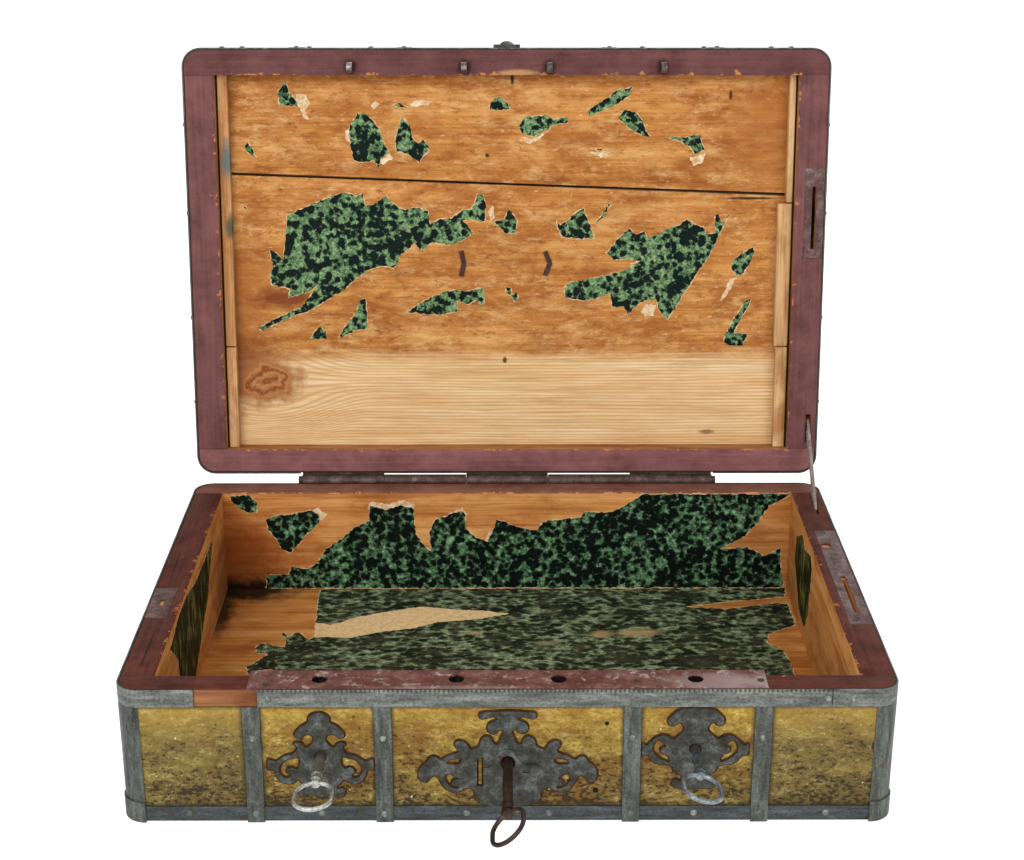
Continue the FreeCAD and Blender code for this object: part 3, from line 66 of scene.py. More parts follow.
solid_box = [list(corner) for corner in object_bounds()]
MM = 0.001
print(len(nodes), "pieces in a box of", [round((high - low) / MM) for low, high in zip(*solid_box)], "mm")

# %% [markdown]
# ## Where the photographer stood
# The camera stands in front of the chest, a little above the open lid's middle, and looks down on it. The
# place and the turn could be tried by eye, but the corners of the rim and the lid fix them far better, so
# they were fitted to those corners once and are written here as plain numbers. The same numbers let later
# cells send a sight line through a pixel to find where a torn edge lies on its board.

# %% the camera
CAMERA_PLACE = Vector((-1.86, -1354.05, 766.32)) * MM
PITCH, YAW, ROLL = (math.radians(angle) for angle in (21.18, -0.24, 0.04))
IMAGE_WIDTH, IMAGE_HEIGHT = 1024, 860
FOCAL_PIXELS = 1795.85
SENSOR, SIGHT_END = 36.0, 50

level_right = Vector((math.cos(YAW), math.sin(YAW), 0))
ahead = Vector((-math.sin(YAW) * math.cos(PITCH), math.cos(YAW) * math.cos(PITCH), -math.sin(PITCH)))
level_up = level_right.cross(ahead)
sight_right = level_right * math.cos(ROLL) + level_up * math.sin(ROLL)
sight_up = level_up * math.cos(ROLL) - level_right * math.sin(ROLL)

bpy.ops.object.camera_add()
camera = bpy.context.object
camera.name = "photograph_camera"
sight_turn = Matrix((sight_right, sight_up, -ahead)).transposed()
camera.matrix_world = Matrix.Translation(CAMERA_PLACE) @ sight_turn.to_4x4()
camera.data.sensor_width = SENSOR
camera.data.lens = SENSOR * FOCAL_PIXELS / IMAGE_WIDTH
camera.data.clip_end = SIGHT_END
bpy.context.scene.camera = camera
print("lens", round(camera.data.lens, 2), "mm")


def sight_line(across, down):
    """The direction in which the camera sees a pixel of the photograph."""
    right = (across - IMAGE_WIDTH / 2) / FOCAL_PIXELS
    up = (IMAGE_HEIGHT / 2 - down) / FOCAL_PIXELS
    return (ahead + sight_right * right + sight_up * up).normalized()


# %% [markdown]
# ## Colours and nodes
# Every finish below is a small network of nodes. Colours are written as the eye reads them, in hex, and
# turned to the linear values that light is reckoned in. One function adds any node with its settings and
# its links. A pattern's scale is always worked out from a real size in millimetres. Four things come back in
# most finishes and have helpers of their own: a noise in cells that can be long and thin, so that it runs
# along a board; scattered patches; a colour that lies over another one where some value is high or low; and
# the distance from a spot. Pieces of the lid read their place as if the lid were shut, so that their
# patterns can be laid out flat.

# %% colours and nodes
def tone(code):
    """A colour written in hex, as linear red, green, blue and alpha."""
    parts = [int(code[place:place + 2], 16) / 255 for place in (1, 3, 5)]
    return [part / 12.92 if part <= 0.04045 else ((part + 0.055) / 1.055) ** 2.4 for part in parts] + [1.0]


def add(tree, kind, links=None, stops=None, **settings):
    """Adds a node: settings go on it, links fill its sockets with values or nodes, stops colour a ramp."""
    made = tree.nodes.new("ShaderNode" + kind)
    for name, value in settings.items():
        setattr(made, name, value)
    for key, value in (links or {}).items():
        source = value.outputs[0] if isinstance(value, bpy.types.Node) else value
        if isinstance(source, bpy.types.NodeSocket):
            tree.links.new(source, made.inputs[key])
        else:
            made.inputs[key].default_value = source
    for count, (place, colour) in enumerate(stops or []):
        elements = made.color_ramp.elements
        stop = elements[count] if count < 2 else elements.new(place)
        stop.position = place
        stop.color = tone(colour)
    return made


def per(size):
    """How many times a pattern of that size in millimetres repeats in a metre."""
    return 1000 / size


print("the grey #808080 is", round(tone("#808080")[0], 3), "in linear light")

# %% patterns for the finishes
def mottle(tree, place, cell, detail, roughness=0.5, distortion=0.0):
    """Noise in cells of that width, depth and height in millimetres."""
    laid = add(tree, "Mapping", {"Vector": place, "Scale": [per(size) for size in cell]})
    return add(tree, "TexNoise", {"Vector": laid, "Scale": 1.0, "Detail": detail, "Roughness": roughness,
                                  "Distortion": distortion})


def soft_patch(tree, place, size, low, high, detail=5.0):
    """A mask of scattered patches of that size in millimetres: 0 below low, 1 above high."""
    cloud = add(tree, "TexNoise", {"Vector": place, "Scale": per(size), "Detail": detail, "Roughness": 0.68})
    return add(tree, "MapRange", {"Value": cloud, "From Min": low, "From Max": high})


def coated(tree, under, colour, value, bare, full, strength=1.0):
    """Lays a colour over another: none where a value is at bare, that much of it where it is at full."""
    cover = add(tree, "MapRange", {"Value": value, "From Min": bare, "From Max": full, "To Max": strength})
    return add(tree, "MixRGB", {"Fac": cover, "Color1": under, "Color2": tone(colour)})


def away_from(tree, place, centre, radii):
    """How far a place is from a centre, in radii; all in millimetres, and a radius of None doesn't count."""
    scale = [0 if radius is None else per(radius) for radius in radii]
    moved = [0 if radius is None else -middle / radius for middle, radius in zip(centre, radii)]
    local = add(tree, "Mapping", {"Vector": place, "Scale": scale, "Location": moved})
    return add(tree, "VectorMath", {0: local}, operation="LENGTH").outputs["Value"]


print("helpers for noise, patches, coats and spots")

# %% the start and the end of a finish
HINGE = Vector((0, 201.8, 113)) * MM
OPEN_ANGLE = math.radians(98.2)
SHUT_TURN = Matrix.Rotation(OPEN_ANGLE, 3, "X")
SHUT_SHIFT = HINGE - SHUT_TURN @ HINGE
OPENED = Matrix.Translation(HINGE) @ Matrix.Rotation(-OPEN_ANGLE, 4, "X") @ Matrix.Translation(-HINGE)
# Open wood, paper and dry paint scatter light between their fibres and mirror less of it than a closed skin
MATT = 0.12


def start_finish(name, on_lid=False):
    """A new material, its tree and the place on the chest, for the lid's pieces as if the lid were shut."""
    made = bpy.data.materials.new(name)
    made.use_nodes = True
    tree = made.node_tree
    place = add(tree, "TexCoord").outputs["Object"]
    if on_lid:
        turned = {"Vector": place, "Location": SHUT_SHIFT, "Rotation": (OPEN_ANGLE, 0, 0)}
        place = add(tree, "Mapping", turned).outputs[0]
    return made, tree, place


def end_finish(tree, colour, roughness, metallic, height, depth, gloss=MATT):
    """Joins colour, roughness and relief to the shader; depth is how deep the relief looks, in mm."""
    shader = tree.nodes["Principled BSDF"]
    relief = add(tree, "Bump", {"Height": height, "Strength": 1.0, "Distance": depth * MM})
    tree.links.new(colour.outputs[0], shader.inputs["Base Color"])
    tree.links.new(roughness.outputs[0], shader.inputs["Roughness"])
    tree.links.new(relief.outputs[0], shader.inputs["Normal"])
    shader.inputs["Metallic"].default_value = metallic
    shader.inputs["Specular IOR Level"].default_value = gloss


def end_matt(tree, colour, grain, smooth, dull, depth, gloss=MATT):
    """Ends a dull finish whose grain gives both its relief and its roughness, from smooth to dull."""
    roughness = add(tree, "MapRange", {"Value": grain, "To Min": smooth, "To Max": dull})
    end_finish(tree, colour, roughness, 0.0, grain, depth, gloss)


print("the lid stands open by", round(math.degrees(OPEN_ANGLE), 1), "degrees")

# %% [markdown]
# ## Studio light and floor
# The chest is shown on white, as a sale catalogue does. The floor is a plain pale sheet that keeps a soft
# shadow under the box. Two big soft lamps stand in front, the left one stronger, so the inside of the left
# wall stays darker than the right one. The white behind the chest is only what the camera and mirrors see,
# so the lamps need not be turned up for it.

# %% the floor
FLOOR_SPREAD, FLOOR_DROP, FLOOR_GLOW = 40, 0.2, 0.62


def seen_straight(tree):
    """1 where the camera, a mirror or glass looks straight at a surface, 0 for the light it casts."""
    seen = add(tree, "LightPath")
    mirrors = add(tree, "Math", {0: seen.outputs["Is Glossy Ray"], 1: seen.outputs["Is Transmission Ray"]},
                  operation="MAXIMUM")
    return add(tree, "Math", {0: seen.outputs["Is Camera Ray"], 1: mirrors}, operation="MAXIMUM")


bpy.ops.object.select_all(action="DESELECT")
bpy.ops.mesh.primitive_plane_add(size=FLOOR_SPREAD, location=(0, 0, -FLOOR_DROP * MM))
floor = bpy.context.object
floor.name = "studio_floor"
bpy.ops.object.transform_apply(location=True, rotation=True, scale=True)
floor_finish = bpy.data.materials.new("white_paper_sweep")
floor_finish.use_nodes = True
tree = floor_finish.node_tree
shader = tree.nodes["Principled BSDF"]
shader.inputs["Base Color"].default_value = tone("#F4F4F4")
shader.inputs["Roughness"].default_value = 0.9
glow = add(tree, "Emission", {"Color": (1, 1, 1, 1), "Strength": FLOOR_GLOW})
dark = add(tree, "BsdfDiffuse", {"Color": (0, 0, 0, 1)})
lift = add(tree, "MixShader", {0: seen_straight(tree), 1: dark, 2: glow})
both = add(tree, "AddShader", {0: shader.outputs[0], 1: lift})
tree.links.new(both.outputs[0], tree.nodes["Material Output"].inputs["Surface"])
floor.data.materials.append(floor_finish)
floor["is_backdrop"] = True
print("a floor sheet", FLOOR_SPREAD, "m wide,", FLOOR_DROP, "mm under the chest")

# %% the world and the lamps
WORLD_LIGHT, WORLD_SHOWN = 0.5, 1.0
world = bpy.data.worlds.new("white_studio")
bpy.context.scene.world = world
world.use_nodes = True
tree = world.node_tree
level = add(tree, "MapRange", {"Value": seen_straight(tree), "To Min": WORLD_LIGHT, "To Max": WORLD_SHOWN})
tree.links.new(level.outputs[0], tree.nodes["Background"].inputs["Strength"])
tree.nodes["Background"].inputs["Color"].default_value = (1, 1, 1, 1)

AIM = Vector((0, 0, 180)) * MM
# Each lamp's place in millimetres, its width in metres and its watts
LAMPS = {"left_softbox": ((-950, -1900, 1450), 1.6, 35), "right_softbox": ((1250, -1900, 1150), 1.6, 19),
         "back_softbox": ((300, 1700, 1600), 1.5, 14)}
for name, (place, size, watts) in LAMPS.items():
    bpy.ops.object.light_add(type="AREA", location=Vector(place) * MM)
    lamp = bpy.context.object
    lamp.name = name
    lamp.data.size = size
    lamp.data.energy = watts
    lamp.rotation_euler = (AIM - lamp.location).to_track_quat("-Z", "Y").to_euler()
bpy.context.scene.view_settings.view_transform = "Standard"
print(len(LAMPS), "lamps of", sum(watts for _, _, watts in LAMPS.values()), "watts together")

# %% [markdown]
# ## Aged pine
# The boards are pine, never varnished, gone orange with age and handled pale in places. Pine has growth
# bands about a finger wide, fine dark lines of a millimetre or two, and stains where glue and damp soaked
# in, all drawn out along the board. The rims were painted red-brown, and the paint has chipped at the
# opening. A photograph of wood would show one board only; noise that is stretched along the grain gives
# every board its own. The lines are drawn about two millimetres wide, coarser than real fibres, so that
# they show.

# %% pine grain
# How wide and how long the marks of the grain are, in millimetres
GRAIN_SIZES = {"bands": (13, 210), "lines": (1.8, 75), "stains": (22, 48)}


def pine_grain(tree, place, along, dark, middle, pale, soiling=0.6):
    """Growth bands, lines and stains on a board, its grain along X, Y or Z (0 to 2): colour and relief."""
    fields = {}
    for name, (across, length) in GRAIN_SIZES.items():
        cell = [across] * 3
        cell[along] = length
        fields[name] = mottle(tree, place, cell, 7.0, 0.66, 0.3)
    grown = add(tree, "ValToRGB", {"Fac": fields["bands"]}, stops=[(0.32, dark), (0.68, pale), (0.5, middle)])
    lines = add(tree, "ValToRGB", {"Fac": fields["lines"]}, stops=[(0.36, "#BFA78C"), (0.54, "#FFFFFF")])
    lined = add(tree, "MixRGB", {"Fac": 0.5, "Color1": grown, "Color2": lines}, blend_type="MULTIPLY")
    soil = add(tree, "ValToRGB", {"Fac": fields["stains"]}, stops=[(0.34, "#B98558"), (0.52, "#FFFFFF")])
    soiled = add(tree, "MixRGB", {"Fac": soiling, "Color1": lined, "Color2": soil}, blend_type="MULTIPLY")
    return soiled, fields["lines"]


print("pine with", " and ".join(f"{name} of {across} mm" for name, (across, _) in GRAIN_SIZES.items()))

# %% spots and red rims
def stained(tree, place, wood, spots):
    """Soaks spots into a colour: each has a centre, radii, colour and strength, and a ragged border."""
    ragged = add(tree, "TexNoise", {"Vector": place, "Scale": per(14), "Detail": 7.0, "Roughness": 0.7})
    for centre, radii, colour, strength in spots:
        away = away_from(tree, place, centre, radii)
        broken = add(tree, "Math", {0: ragged, 1: 1.2, 2: away}, operation="MULTIPLY_ADD")
        wood = coated(tree, wood, colour, broken, 1.6, 1.0, strength)
    return wood


def rim_distance(tree, place, opening):
    """How many millimetres a place lies outside an opening, given as half its width and half its depth."""
    apart = add(tree, "SeparateXYZ", {"Vector": add(tree, "VectorMath", {0: place}, operation="ABSOLUTE")})
    gaps = [add(tree, "Math", {0: apart.outputs[axis], 1: half * MM}, operation="SUBTRACT")
            for axis, half in zip("XY", opening)]
    nearest = add(tree, "Math", {0: gaps[0], 1: gaps[1]}, operation="MAXIMUM")
    return add(tree, "Math", {0: nearest, 1: per(1)}, operation="MULTIPLY")


RIM_LEVEL, LID_RIM_LEVEL = 113, 113.4
CASE_OPENING, LID_OPENING = (263, 171.5), (262, 171.5)
# Depths behind the rim's face at which the paint begins and where it covers
PAINT_DEPTHS = (1.3, 0.5)
# Distances from the opening between which the paint holds better and better
CHIPPED_WITHIN = (0.5, 5.0)


def red_rim(tree, place, wood, along, paint, on_lid):
    """Lays worn red-brown paint on the rim's face of a board and chips it off at the opening's edge."""
    deep, faded, chip = paint
    cell = [3] * 3
    cell[along] = 90
    clouds = add(tree, "TexNoise", {"Vector": place, "Scale": per(26), "Detail": 8.0, "Roughness": 0.7})
    rubs = mottle(tree, place, cell, 4.0)
    mixed = add(tree, "MixRGB", {"Fac": 0.3, "Color1": clouds, "Color2": rubs})
    red = add(tree, "ValToRGB", {"Fac": mixed}, stops=[(0.38, deep), (0.62, faded)])
    edge = rim_distance(tree, place, LID_OPENING if on_lid else CASE_OPENING)
    bare, sound = CHIPPED_WITHIN
    near_edge = add(tree, "MapRange", {"Value": edge, "From Min": bare, "From Max": sound, "To Min": 0.16,
                                       "To Max": 0.0})
    flakes = add(tree, "TexNoise", {"Vector": place, "Scale": per(15), "Detail": 6.0, "Roughness": 0.72})
    lifted = add(tree, "Math", {0: flakes, 1: near_edge}, operation="ADD")
    red = coated(tree, red, chip, lifted, 0.69, 0.72)
    height = add(tree, "SeparateXYZ", {"Vector": place}).outputs["Z"]
    level, inward = (LID_RIM_LEVEL, 1) if on_lid else (RIM_LEVEL, -1)
    begins, covers = (level + inward * depth for depth in PAINT_DEPTHS)
    face = add(tree, "MapRange", {"Value": height, "From Min": begins * MM, "From Max": covers * MM})
    return add(tree, "MixRGB", {"Fac": face, "Color1": wood, "Color2": red})


print("rims painted at", RIM_LEVEL, "and", LID_RIM_LEVEL, "mm")

# %% the board finishes
def board_finish(name, along, tones, paint, on_lid, spots=(), marks=()):
    """Bare pine whose rim carries worn red paint, with spots soaked in under the paint and marks over it."""
    made, tree, place = start_finish(name, on_lid)
    wood, lines = pine_grain(tree, place, along, *tones)
    wood = stained(tree, place, wood, spots)
    wood = red_rim(tree, place, wood, along, paint, on_lid)
    wood = stained(tree, place, wood, marks)
    end_matt(tree, wood, lines, 0.55, 0.8, 0.3)
    return made


CASE_PINE = ("#AC682F", "#CB8B4D", "#DCA566")
FLOOR_PINE = ("#AA6A30", "#C98A48", "#DDA764")
FRONT_PINE = ("#5E3421", "#8A5A3A", "#B07C52")
CASE_RED = ("#3E1A13", "#62352A", "#A86A3C")
BACK_RED = ("#6A4034", "#8E6353", "#C08A5C")
RAIL_PINE = ("#8A5527", "#A8733F", "#C2935F")
LID_FRONT_RED = ("#533231", "#6F4746", "#BC7A46")
LID_BACK_RED = ("#6E4544", "#90605F", "#BC7A46")
LID_END_RED = ("#5C3938", "#7B504F", "#BC7A46")
# Damp crept in at the back left corner of the case and left dirt in the bottom of it
CORNER_SPOTS = (((-265, 171, 45), (85, 70, 60), "#873E12", 0.8),
                ((-244, 168, 15), (60, 24, 15), "#120D08", 0.95))
END_SPOTS = (((-263, 172, 40), (30, 110, 60), "#5E2C10", 0.6),)
# The last of these darkens the underside
FLOOR_SPOTS = (((-275, 120, 15), (45, 90, 30), "#7A431A", 0.4),
               ((-246, 165, 15), (60, 26, 9), "#120D08", 0.95),
               ((-262, 125, 15), (14, 60, 9), "#1A120B", 0.9),
               ((0, 0, -2), (None, None, 6), "#2A1D13", 0.95))
# No light reaches the bottom of the slot in the lid's right rail
SLOT_SPOTS = (((279, -44, 127), (7, 44, 13), "#0C0705", 0.97),)
RIM_CRACKS = (((-275.6, -125, RIM_LEVEL), (0.9, 48, 6), "#1E0F0A", 0.9),
              ((-279.5, 20, RIM_LEVEL), (0.8, 40, 6), "#1E0F0A", 0.8))
# Rust and shadow lie round the staples in the lid's front rail, and the paint is chipped between them
STAPLES_ACROSS, STAPLE_LINE = (-139.5, -38, 38, 139.5), -178.5
STAPLE_MARKS = (*(((across, STAPLE_LINE, LID_RIM_LEVEL), (7, 9, None), "#26140F", 0.85)
                  for across in STAPLES_ACROSS),
                ((8, STAPLE_LINE + 5, LID_RIM_LEVEL), (22, 4, None), "#B98A5A", 0.9))
case_long_pine = board_finish("case_pine_sawn_long", 0, CASE_PINE, BACK_RED, False, CORNER_SPOTS)
case_end_pine = board_finish("case_pine_sawn_end", 1, CASE_PINE, CASE_RED, False, END_SPOTS, RIM_CRACKS)
case_floor_pine = board_finish("case_pine_sawn_floor", 0, FLOOR_PINE, CASE_RED, False, FLOOR_SPOTS)
case_front_pine = board_finish("case_pine_sawn_front", 0, FRONT_PINE, CASE_RED, False)
rail_front_pine = board_finish("lid_rail_pine_front", 0, RAIL_PINE, LID_FRONT_RED, True, (), STAPLE_MARKS)
rail_back_pine = board_finish("lid_rail_pine_back", 0, RAIL_PINE, LID_BACK_RED, True)
rail_end_pine = board_finish("lid_rail_pine_end", 1, RAIL_PINE, LID_END_RED, True, SLOT_SPOTS)
print("seven pine finishes with red rims")

# %% [markdown]
# ## Battens
# Split strips of paler pine hold the panel at both ends. They never fitted well: a thin slit runs between
# each strip and the rail, and shreds of the lining still cling to the left one. The shade in that slit is
# painted as a dark line on the strip's outer edge, worked out from how far the edge lies from the rail,
# because a slit that thin would be lost in the solid.

# %% the battens' finish
# How wide the painted shade of the slit by the rail is, in millimetres
GAP_SHADE_WIDTH = 2.2
# Deeper than the lid, so that only the rails at its two ends count
FAR_DEEP = LID_OPENING[1] + 50


def batten_finish(name, tones, spots=()):
    """Split pine with painted shade of the slit on the side of the rail and spots of what clings to it."""
    made, tree, place = start_finish(name, True)
    wood, lines = pine_grain(tree, place, 1, *tones)
    wood = stained(tree, place, wood, spots)
    edge = rim_distance(tree, place, (LID_OPENING[0], FAR_DEEP))
    # Painted shade: the slit's shadow is drawn as a dark line along the strip's edge by the rail
    wood = coated(tree, wood, "#1B110A", edge, -GAP_SHADE_WIDTH, -GAP_SHADE_WIDTH * 0.7)
    end_matt(tree, wood, lines, 0.55, 0.8, 0.3)
    return made


# Shreds of the lining still cling to the left strip
SHREDS = (((-254, -96, 124), (6, 26, None), "#4A666A", 0.8),
          ((-253, -35, 124), (6, 14, None), "#33504A", 0.8))
left_batten_pine = batten_finish("lid_batten_pine_left", ("#AA7440", "#C89664", "#DEB888"), SHREDS)
right_batten_pine = batten_finish("lid_batten_pine_right", ("#C0925E", "#DAB280", "#EDCD9E"))
print("batten strips with a dark gap of", GAP_SHADE_WIDTH, "mm by the rails")

# %% [markdown]
# ## The lid's two boards
# Under the lid the paper has gone in most places and left glue stains and scrapes on the wood. The strip
# nearest the hinge was covered longer and stayed pale, with fine growth lines, and it has a knot at its
# left end that the lines bend round. There are stray nail holes, a split, and a dirty seam between the two
# boards. Painting such zones by hand would need an image; here the pale strip is a mask by the distance
# from the hinge, its border broken up by noise, the growth lines are waves across the board, and the knot
# is a squeezed ring pattern round one point that also pushes the waves aside. The waves are three
# millimetres apart, a little coarser than the real lines.

# %% the lid board's finish
lid_board_pine, tree, place = start_finish("lid_board_pine_scraped", True)
apart = add(tree, "SeparateXYZ", {"Vector": place})
wood, lines = pine_grain(tree, place, 0, "#AC6B30", "#C68846", "#D69D5A")
# Scrapes, glue and drips, from wide blots to small ones: cell, colour, bare and full of the noise, strength
BLOTS = (((60, 26, 30), "#95531F", 0.46, 0.62, 0.8), ((30, 11, 30), "#DDB074", 0.5, 0.66, 0.7),
         ((14, 6, 14), "#7E4419", 0.54, 0.66, 0.85), ((8, 4, 9), "#E9CC9A", 0.59, 0.68, 0.7),
         ((5, 3, 5), "#552C12", 0.63, 0.71, 0.85))
for cell, colour, bare, full, strength in BLOTS:
    wood = coated(tree, wood, colour, mottle(tree, place, cell, 10.0, 0.76, 0.15), bare, full, strength)
print("lid boards with", len(BLOTS), "sizes of blots")

# %% the pale strip by the hinge
PALE_STRIP_FROM, STRIP_RAGGED, STRIP_FADE = 84.5, 26, (8, 24)
GROWTH_PITCH, GROWTH_DRIFT = 3.0, 9
KNOT_PLACE, KNOT_RADII = (-225, 111), (45, 32)
knot_centre = (*KNOT_PLACE, 0)
knot_away = away_from(tree, place, knot_centre, (*KNOT_RADII, None))
aside = add(tree, "MapRange", {"Value": knot_away, "From Min": 0.5, "From Max": 2.3, "To Min": 0.8,
                               "To Max": 0.0}, interpolation_type="SMOOTHSTEP")
from_knot = add(tree, "Math", {0: apart.outputs["Y"], 1: KNOT_PLACE[1] * MM}, operation="SUBTRACT")
pushed = add(tree, "Math", {0: from_knot, 1: aside}, operation="MULTIPLY")
grown_at = add(tree, "Math", {0: apart.outputs["Y"], 1: pushed}, operation="SUBTRACT")
drift = mottle(tree, place, (260, 40, 40), 2.0)
bent = add(tree, "Math", {0: drift, 1: GROWTH_DRIFT * MM, 2: grown_at}, operation="MULTIPLY_ADD")
turns = add(tree, "Math", {0: bent, 1: 2 * math.pi * per(GROWTH_PITCH)}, operation="MULTIPLY")
wave = add(tree, "Math", {0: turns}, operation="SINE")
pale_wood, _ = pine_grain(tree, place, 0, "#DDB37C", "#E8C592", "#EFD2A6", 0.15)
pale_wood = coated(tree, pale_wood, "#C4925A", wave, -0.2, 1.0, 0.6)
ragged = mottle(tree, place, (60, 5, 30), 6.0, 0.7)
border = add(tree, "Math", {0: ragged, 1: STRIP_RAGGED * MM, 2: apart.outputs["Y"]},
             operation="MULTIPLY_ADD")
begins, covers = (PALE_STRIP_FROM + beyond for beyond in STRIP_FADE)
strip = add(tree, "MapRange", {"Value": border, "From Min": begins * MM, "From Max": covers * MM})
wood = add(tree, "MixRGB", {"Fac": strip, "Color1": wood, "Color2": pale_wood})
print("pale strip beyond", PALE_STRIP_FROM, "mm, with growth lines every", GROWTH_PITCH, "mm")

# %% resin, holes, the knot and the seam
# Resin ran from the knot up the board's left edge, and damp stained the far right corner
RESIN_SPOTS = (((-252, 92, 133), (50, 52, None), "#7E3F19", 0.85),
               ((-250, 25, 133), (40, 60, None), "#A0602A", 0.7),
               ((-205, 33, 133), (40, 14, None), "#702F14", 0.85),
               ((250, -120, 133), (70, 60, None), "#A3622E", 0.6))
wood = stained(tree, place, wood, RESIN_SPOTS)
# Stray nail holes, a dent and a short split
HOLES = (((5, -167, 133), (2.4, 6, None), "#1E1109", 0.95), ((-18, -99, 133), (3, 3, None), "#1E1109", 0.95),
         ((203, -153, 133), (2, 6, None), "#2A1810", 0.9), ((-2, 91, 133), (2.4, 3.5, None), "#2A1810", 0.9),
         ((188, 160, 133), (9, 2.5, None), "#5A3A22", 0.7),
         ((224, -60, 133), (34, 1.6, None), "#2A1810", 0.9))
wood = stained(tree, place, wood, HOLES)
# The knot's own rings are dark and torn
warp = add(tree, "TexNoise", {"Vector": place, "Scale": per(22), "Detail": 6.0, "Roughness": 0.66})
knot_at = add(tree, "Math", {0: warp, 1: 1.0, 2: knot_away}, operation="MULTIPLY_ADD")
knot = add(tree, "ValToRGB", {"Fac": knot_at},
           stops=[(0.36, "#7C401F"), (1.0, "#A0683A"), (0.5, "#B07446"), (0.58, "#7A4422"), (0.72, "#BA8250"),
                  (0.84, "#7C421E"), (0.96, "#B87E4C")])
knot_mask = add(tree, "MapRange", {"Value": knot_at, "From Min": 1.3, "From Max": 1.0})
wood = add(tree, "MixRGB", {"Fac": knot_mask, "Color1": wood, "Color2": knot})
# The joint between the two boards runs askew; dirt fills it
SEAM_LEFT, SEAM_RIGHT = -83, -63
SEAM_FADE, SEAM_HALF = 1.5, 0.8
slope = (SEAM_RIGHT - SEAM_LEFT) / (2 * LID_OPENING[0])
middle = (SEAM_LEFT + SEAM_RIGHT) / 2 * MM
seam_at = add(tree, "Math", {0: apart.outputs["X"], 1: -slope, 2: apart.outputs["Y"]},
              operation="MULTIPLY_ADD")
off_seam = add(tree, "Math", {0: seam_at, 1: middle}, operation="SUBTRACT")
beside = add(tree, "Math", {0: off_seam}, operation="ABSOLUTE")
wood = coated(tree, wood, "#160C06", beside, SEAM_FADE * MM, SEAM_HALF * MM, 0.95)
end_matt(tree, wood, lines, 0.5, 0.75, 0.25)
print("a knot at", KNOT_PLACE, "and", len(HOLES), "holes, dents and splits")

# %% [markdown]
# ## The ochre ground
# The outside wears a thin ground brushed with ochre. It is brightest under the rim and between the locks'
# straps, khaki and dirty in the outer fields and near the floor, freckled with dark specks where damp got
# in, flecked pale where it chipped, and gone rusty round the lock plates. Each of these is one mask over
# one colour, so each can be made weaker or stronger by itself. Fine pale scratches cross it, painted shade
# with some dirt lies along the irons, and along the rim the ground is worn down to a dark edge.

# %% the brushed coat
# Distances from the middle between which the ochre turns khaki, and how far below the top it stays clean
OUTER_FIELDS = (183, 197)
CLEAN_REACH = 28


def brushed_coat(tree, place, apart, low, high):
    """The ochre as brushed; between the heights low and high, in millimetres, dirt gives way to it."""
    height = apart.outputs["Z"]
    brushed = mottle(tree, place, (11, 11, 9), 10.0, 0.8, 0.6)
    ground = add(tree, "ValToRGB", {"Fac": brushed},
                 stops=[(0.32, "#6B5522"), (0.7, "#D2C07C"), (0.44, "#947B38"), (0.56, "#B2994C")])
    grit = mottle(tree, place, (3.4, 3.4, 2.2), 4.0, 0.7)
    grime = add(tree, "ValToRGB", {"Fac": grit}, stops=[(0.36, "#8C8264"), (0.56, "#FFFFFF")])
    ground = add(tree, "MixRGB", {"Fac": 0.75, "Color1": ground, "Color2": grime}, blend_type="MULTIPLY")
    begins, ends = OUTER_FIELDS
    ground = coated(tree, ground, "#77693A", apart.outputs["X"], begins * MM, ends * MM, 0.6)
    lower = add(tree, "MapRange", {"Value": height, "From Min": high * MM, "From Max": low * MM,
                                   "To Min": -0.05, "To Max": 0.1})
    clouds = mottle(tree, place, (34, 34, 15), 10.0, 0.76)
    dirt = add(tree, "Math", {0: clouds, 1: lower}, operation="ADD")
    ground = coated(tree, ground, "#5C4C2C", dirt, 0.42, 0.58, 0.8)
    ground = coated(tree, ground, "#B8923A", height, (high - CLEAN_REACH) * MM, high * MM, 0.35)
    return ground, brushed, clouds, lower


print("ochre that turns khaki", OUTER_FIELDS[0], "mm from the middle")

# %% the coat's wear
GROUND_FACE = -194.3
# Places across and up, half widths and half heights of the rust round the locks
LOCK_HALOS = ((-139.5, 57, 48, 42), (0, 60, 96, 54), (139.5, 63, 50, 44))


def weathered_coat(tree, place, ground, brushed, clouds, lower, halos):
    """Scratches and scuffs, rust that ran round the locks, damp specks and chipped flecks."""
    lines = add(tree, "TexNoise", {"Vector": place, "Scale": per(9), "Detail": 3.0, "Roughness": 0.6,
                                   "Distortion": 1.5})
    crossed = add(tree, "Math", {0: lines, 1: 0.5, 2: 0.014}, operation="COMPARE")
    where = add(tree, "MapRange", {"Value": brushed, "From Min": 0.5, "From Max": 0.62, "To Max": 0.55})
    scratched = add(tree, "Math", {0: crossed, 1: where}, operation="MULTIPLY")
    ground = add(tree, "MixRGB", {"Fac": scratched, "Color1": ground, "Color2": tone("#D9CB96")})
    ground = coated(tree, ground, "#BEAE74", mottle(tree, place, (22, 22, 7), 9.0, 0.74), 0.56, 0.68, 0.5)
    for across, up, wide, tall in halos:
        near = away_from(tree, place, (across, GROUND_FACE, up), (wide, wide, tall))
        halo = add(tree, "MapRange", {"Value": near, "From Min": 1.2, "From Max": 0.8, "To Max": 0.7})
        run = add(tree, "MapRange", {"Value": clouds, "From Min": 0.42, "From Max": 0.6})
        rusty = add(tree, "Math", {0: halo, 1: run}, operation="MULTIPLY")
        ground = add(tree, "MixRGB", {"Fac": rusty, "Color1": ground, "Color2": tone("#7C4E1C")})
    specks = mottle(tree, place, (4.2, 4.2, 2.6), 6.0, 0.74)
    thick = add(tree, "Math", {0: clouds, 1: 0.5, 2: specks}, operation="MULTIPLY_ADD")
    thick = add(tree, "Math", {0: thick, 1: lower}, operation="ADD")
    ground = coated(tree, ground, "#2A2618", thick, 0.82, 0.9, 0.92)
    flecks = soft_patch(tree, place, 5, 0.69, 0.73, 3.0)
    return add(tree, "MixRGB", {"Fac": flecks, "Color1": ground, "Color2": tone("#DED2AC")})


print(len(LOCK_HALOS), "rusty halos on the front, at", GROUND_FACE, "mm")

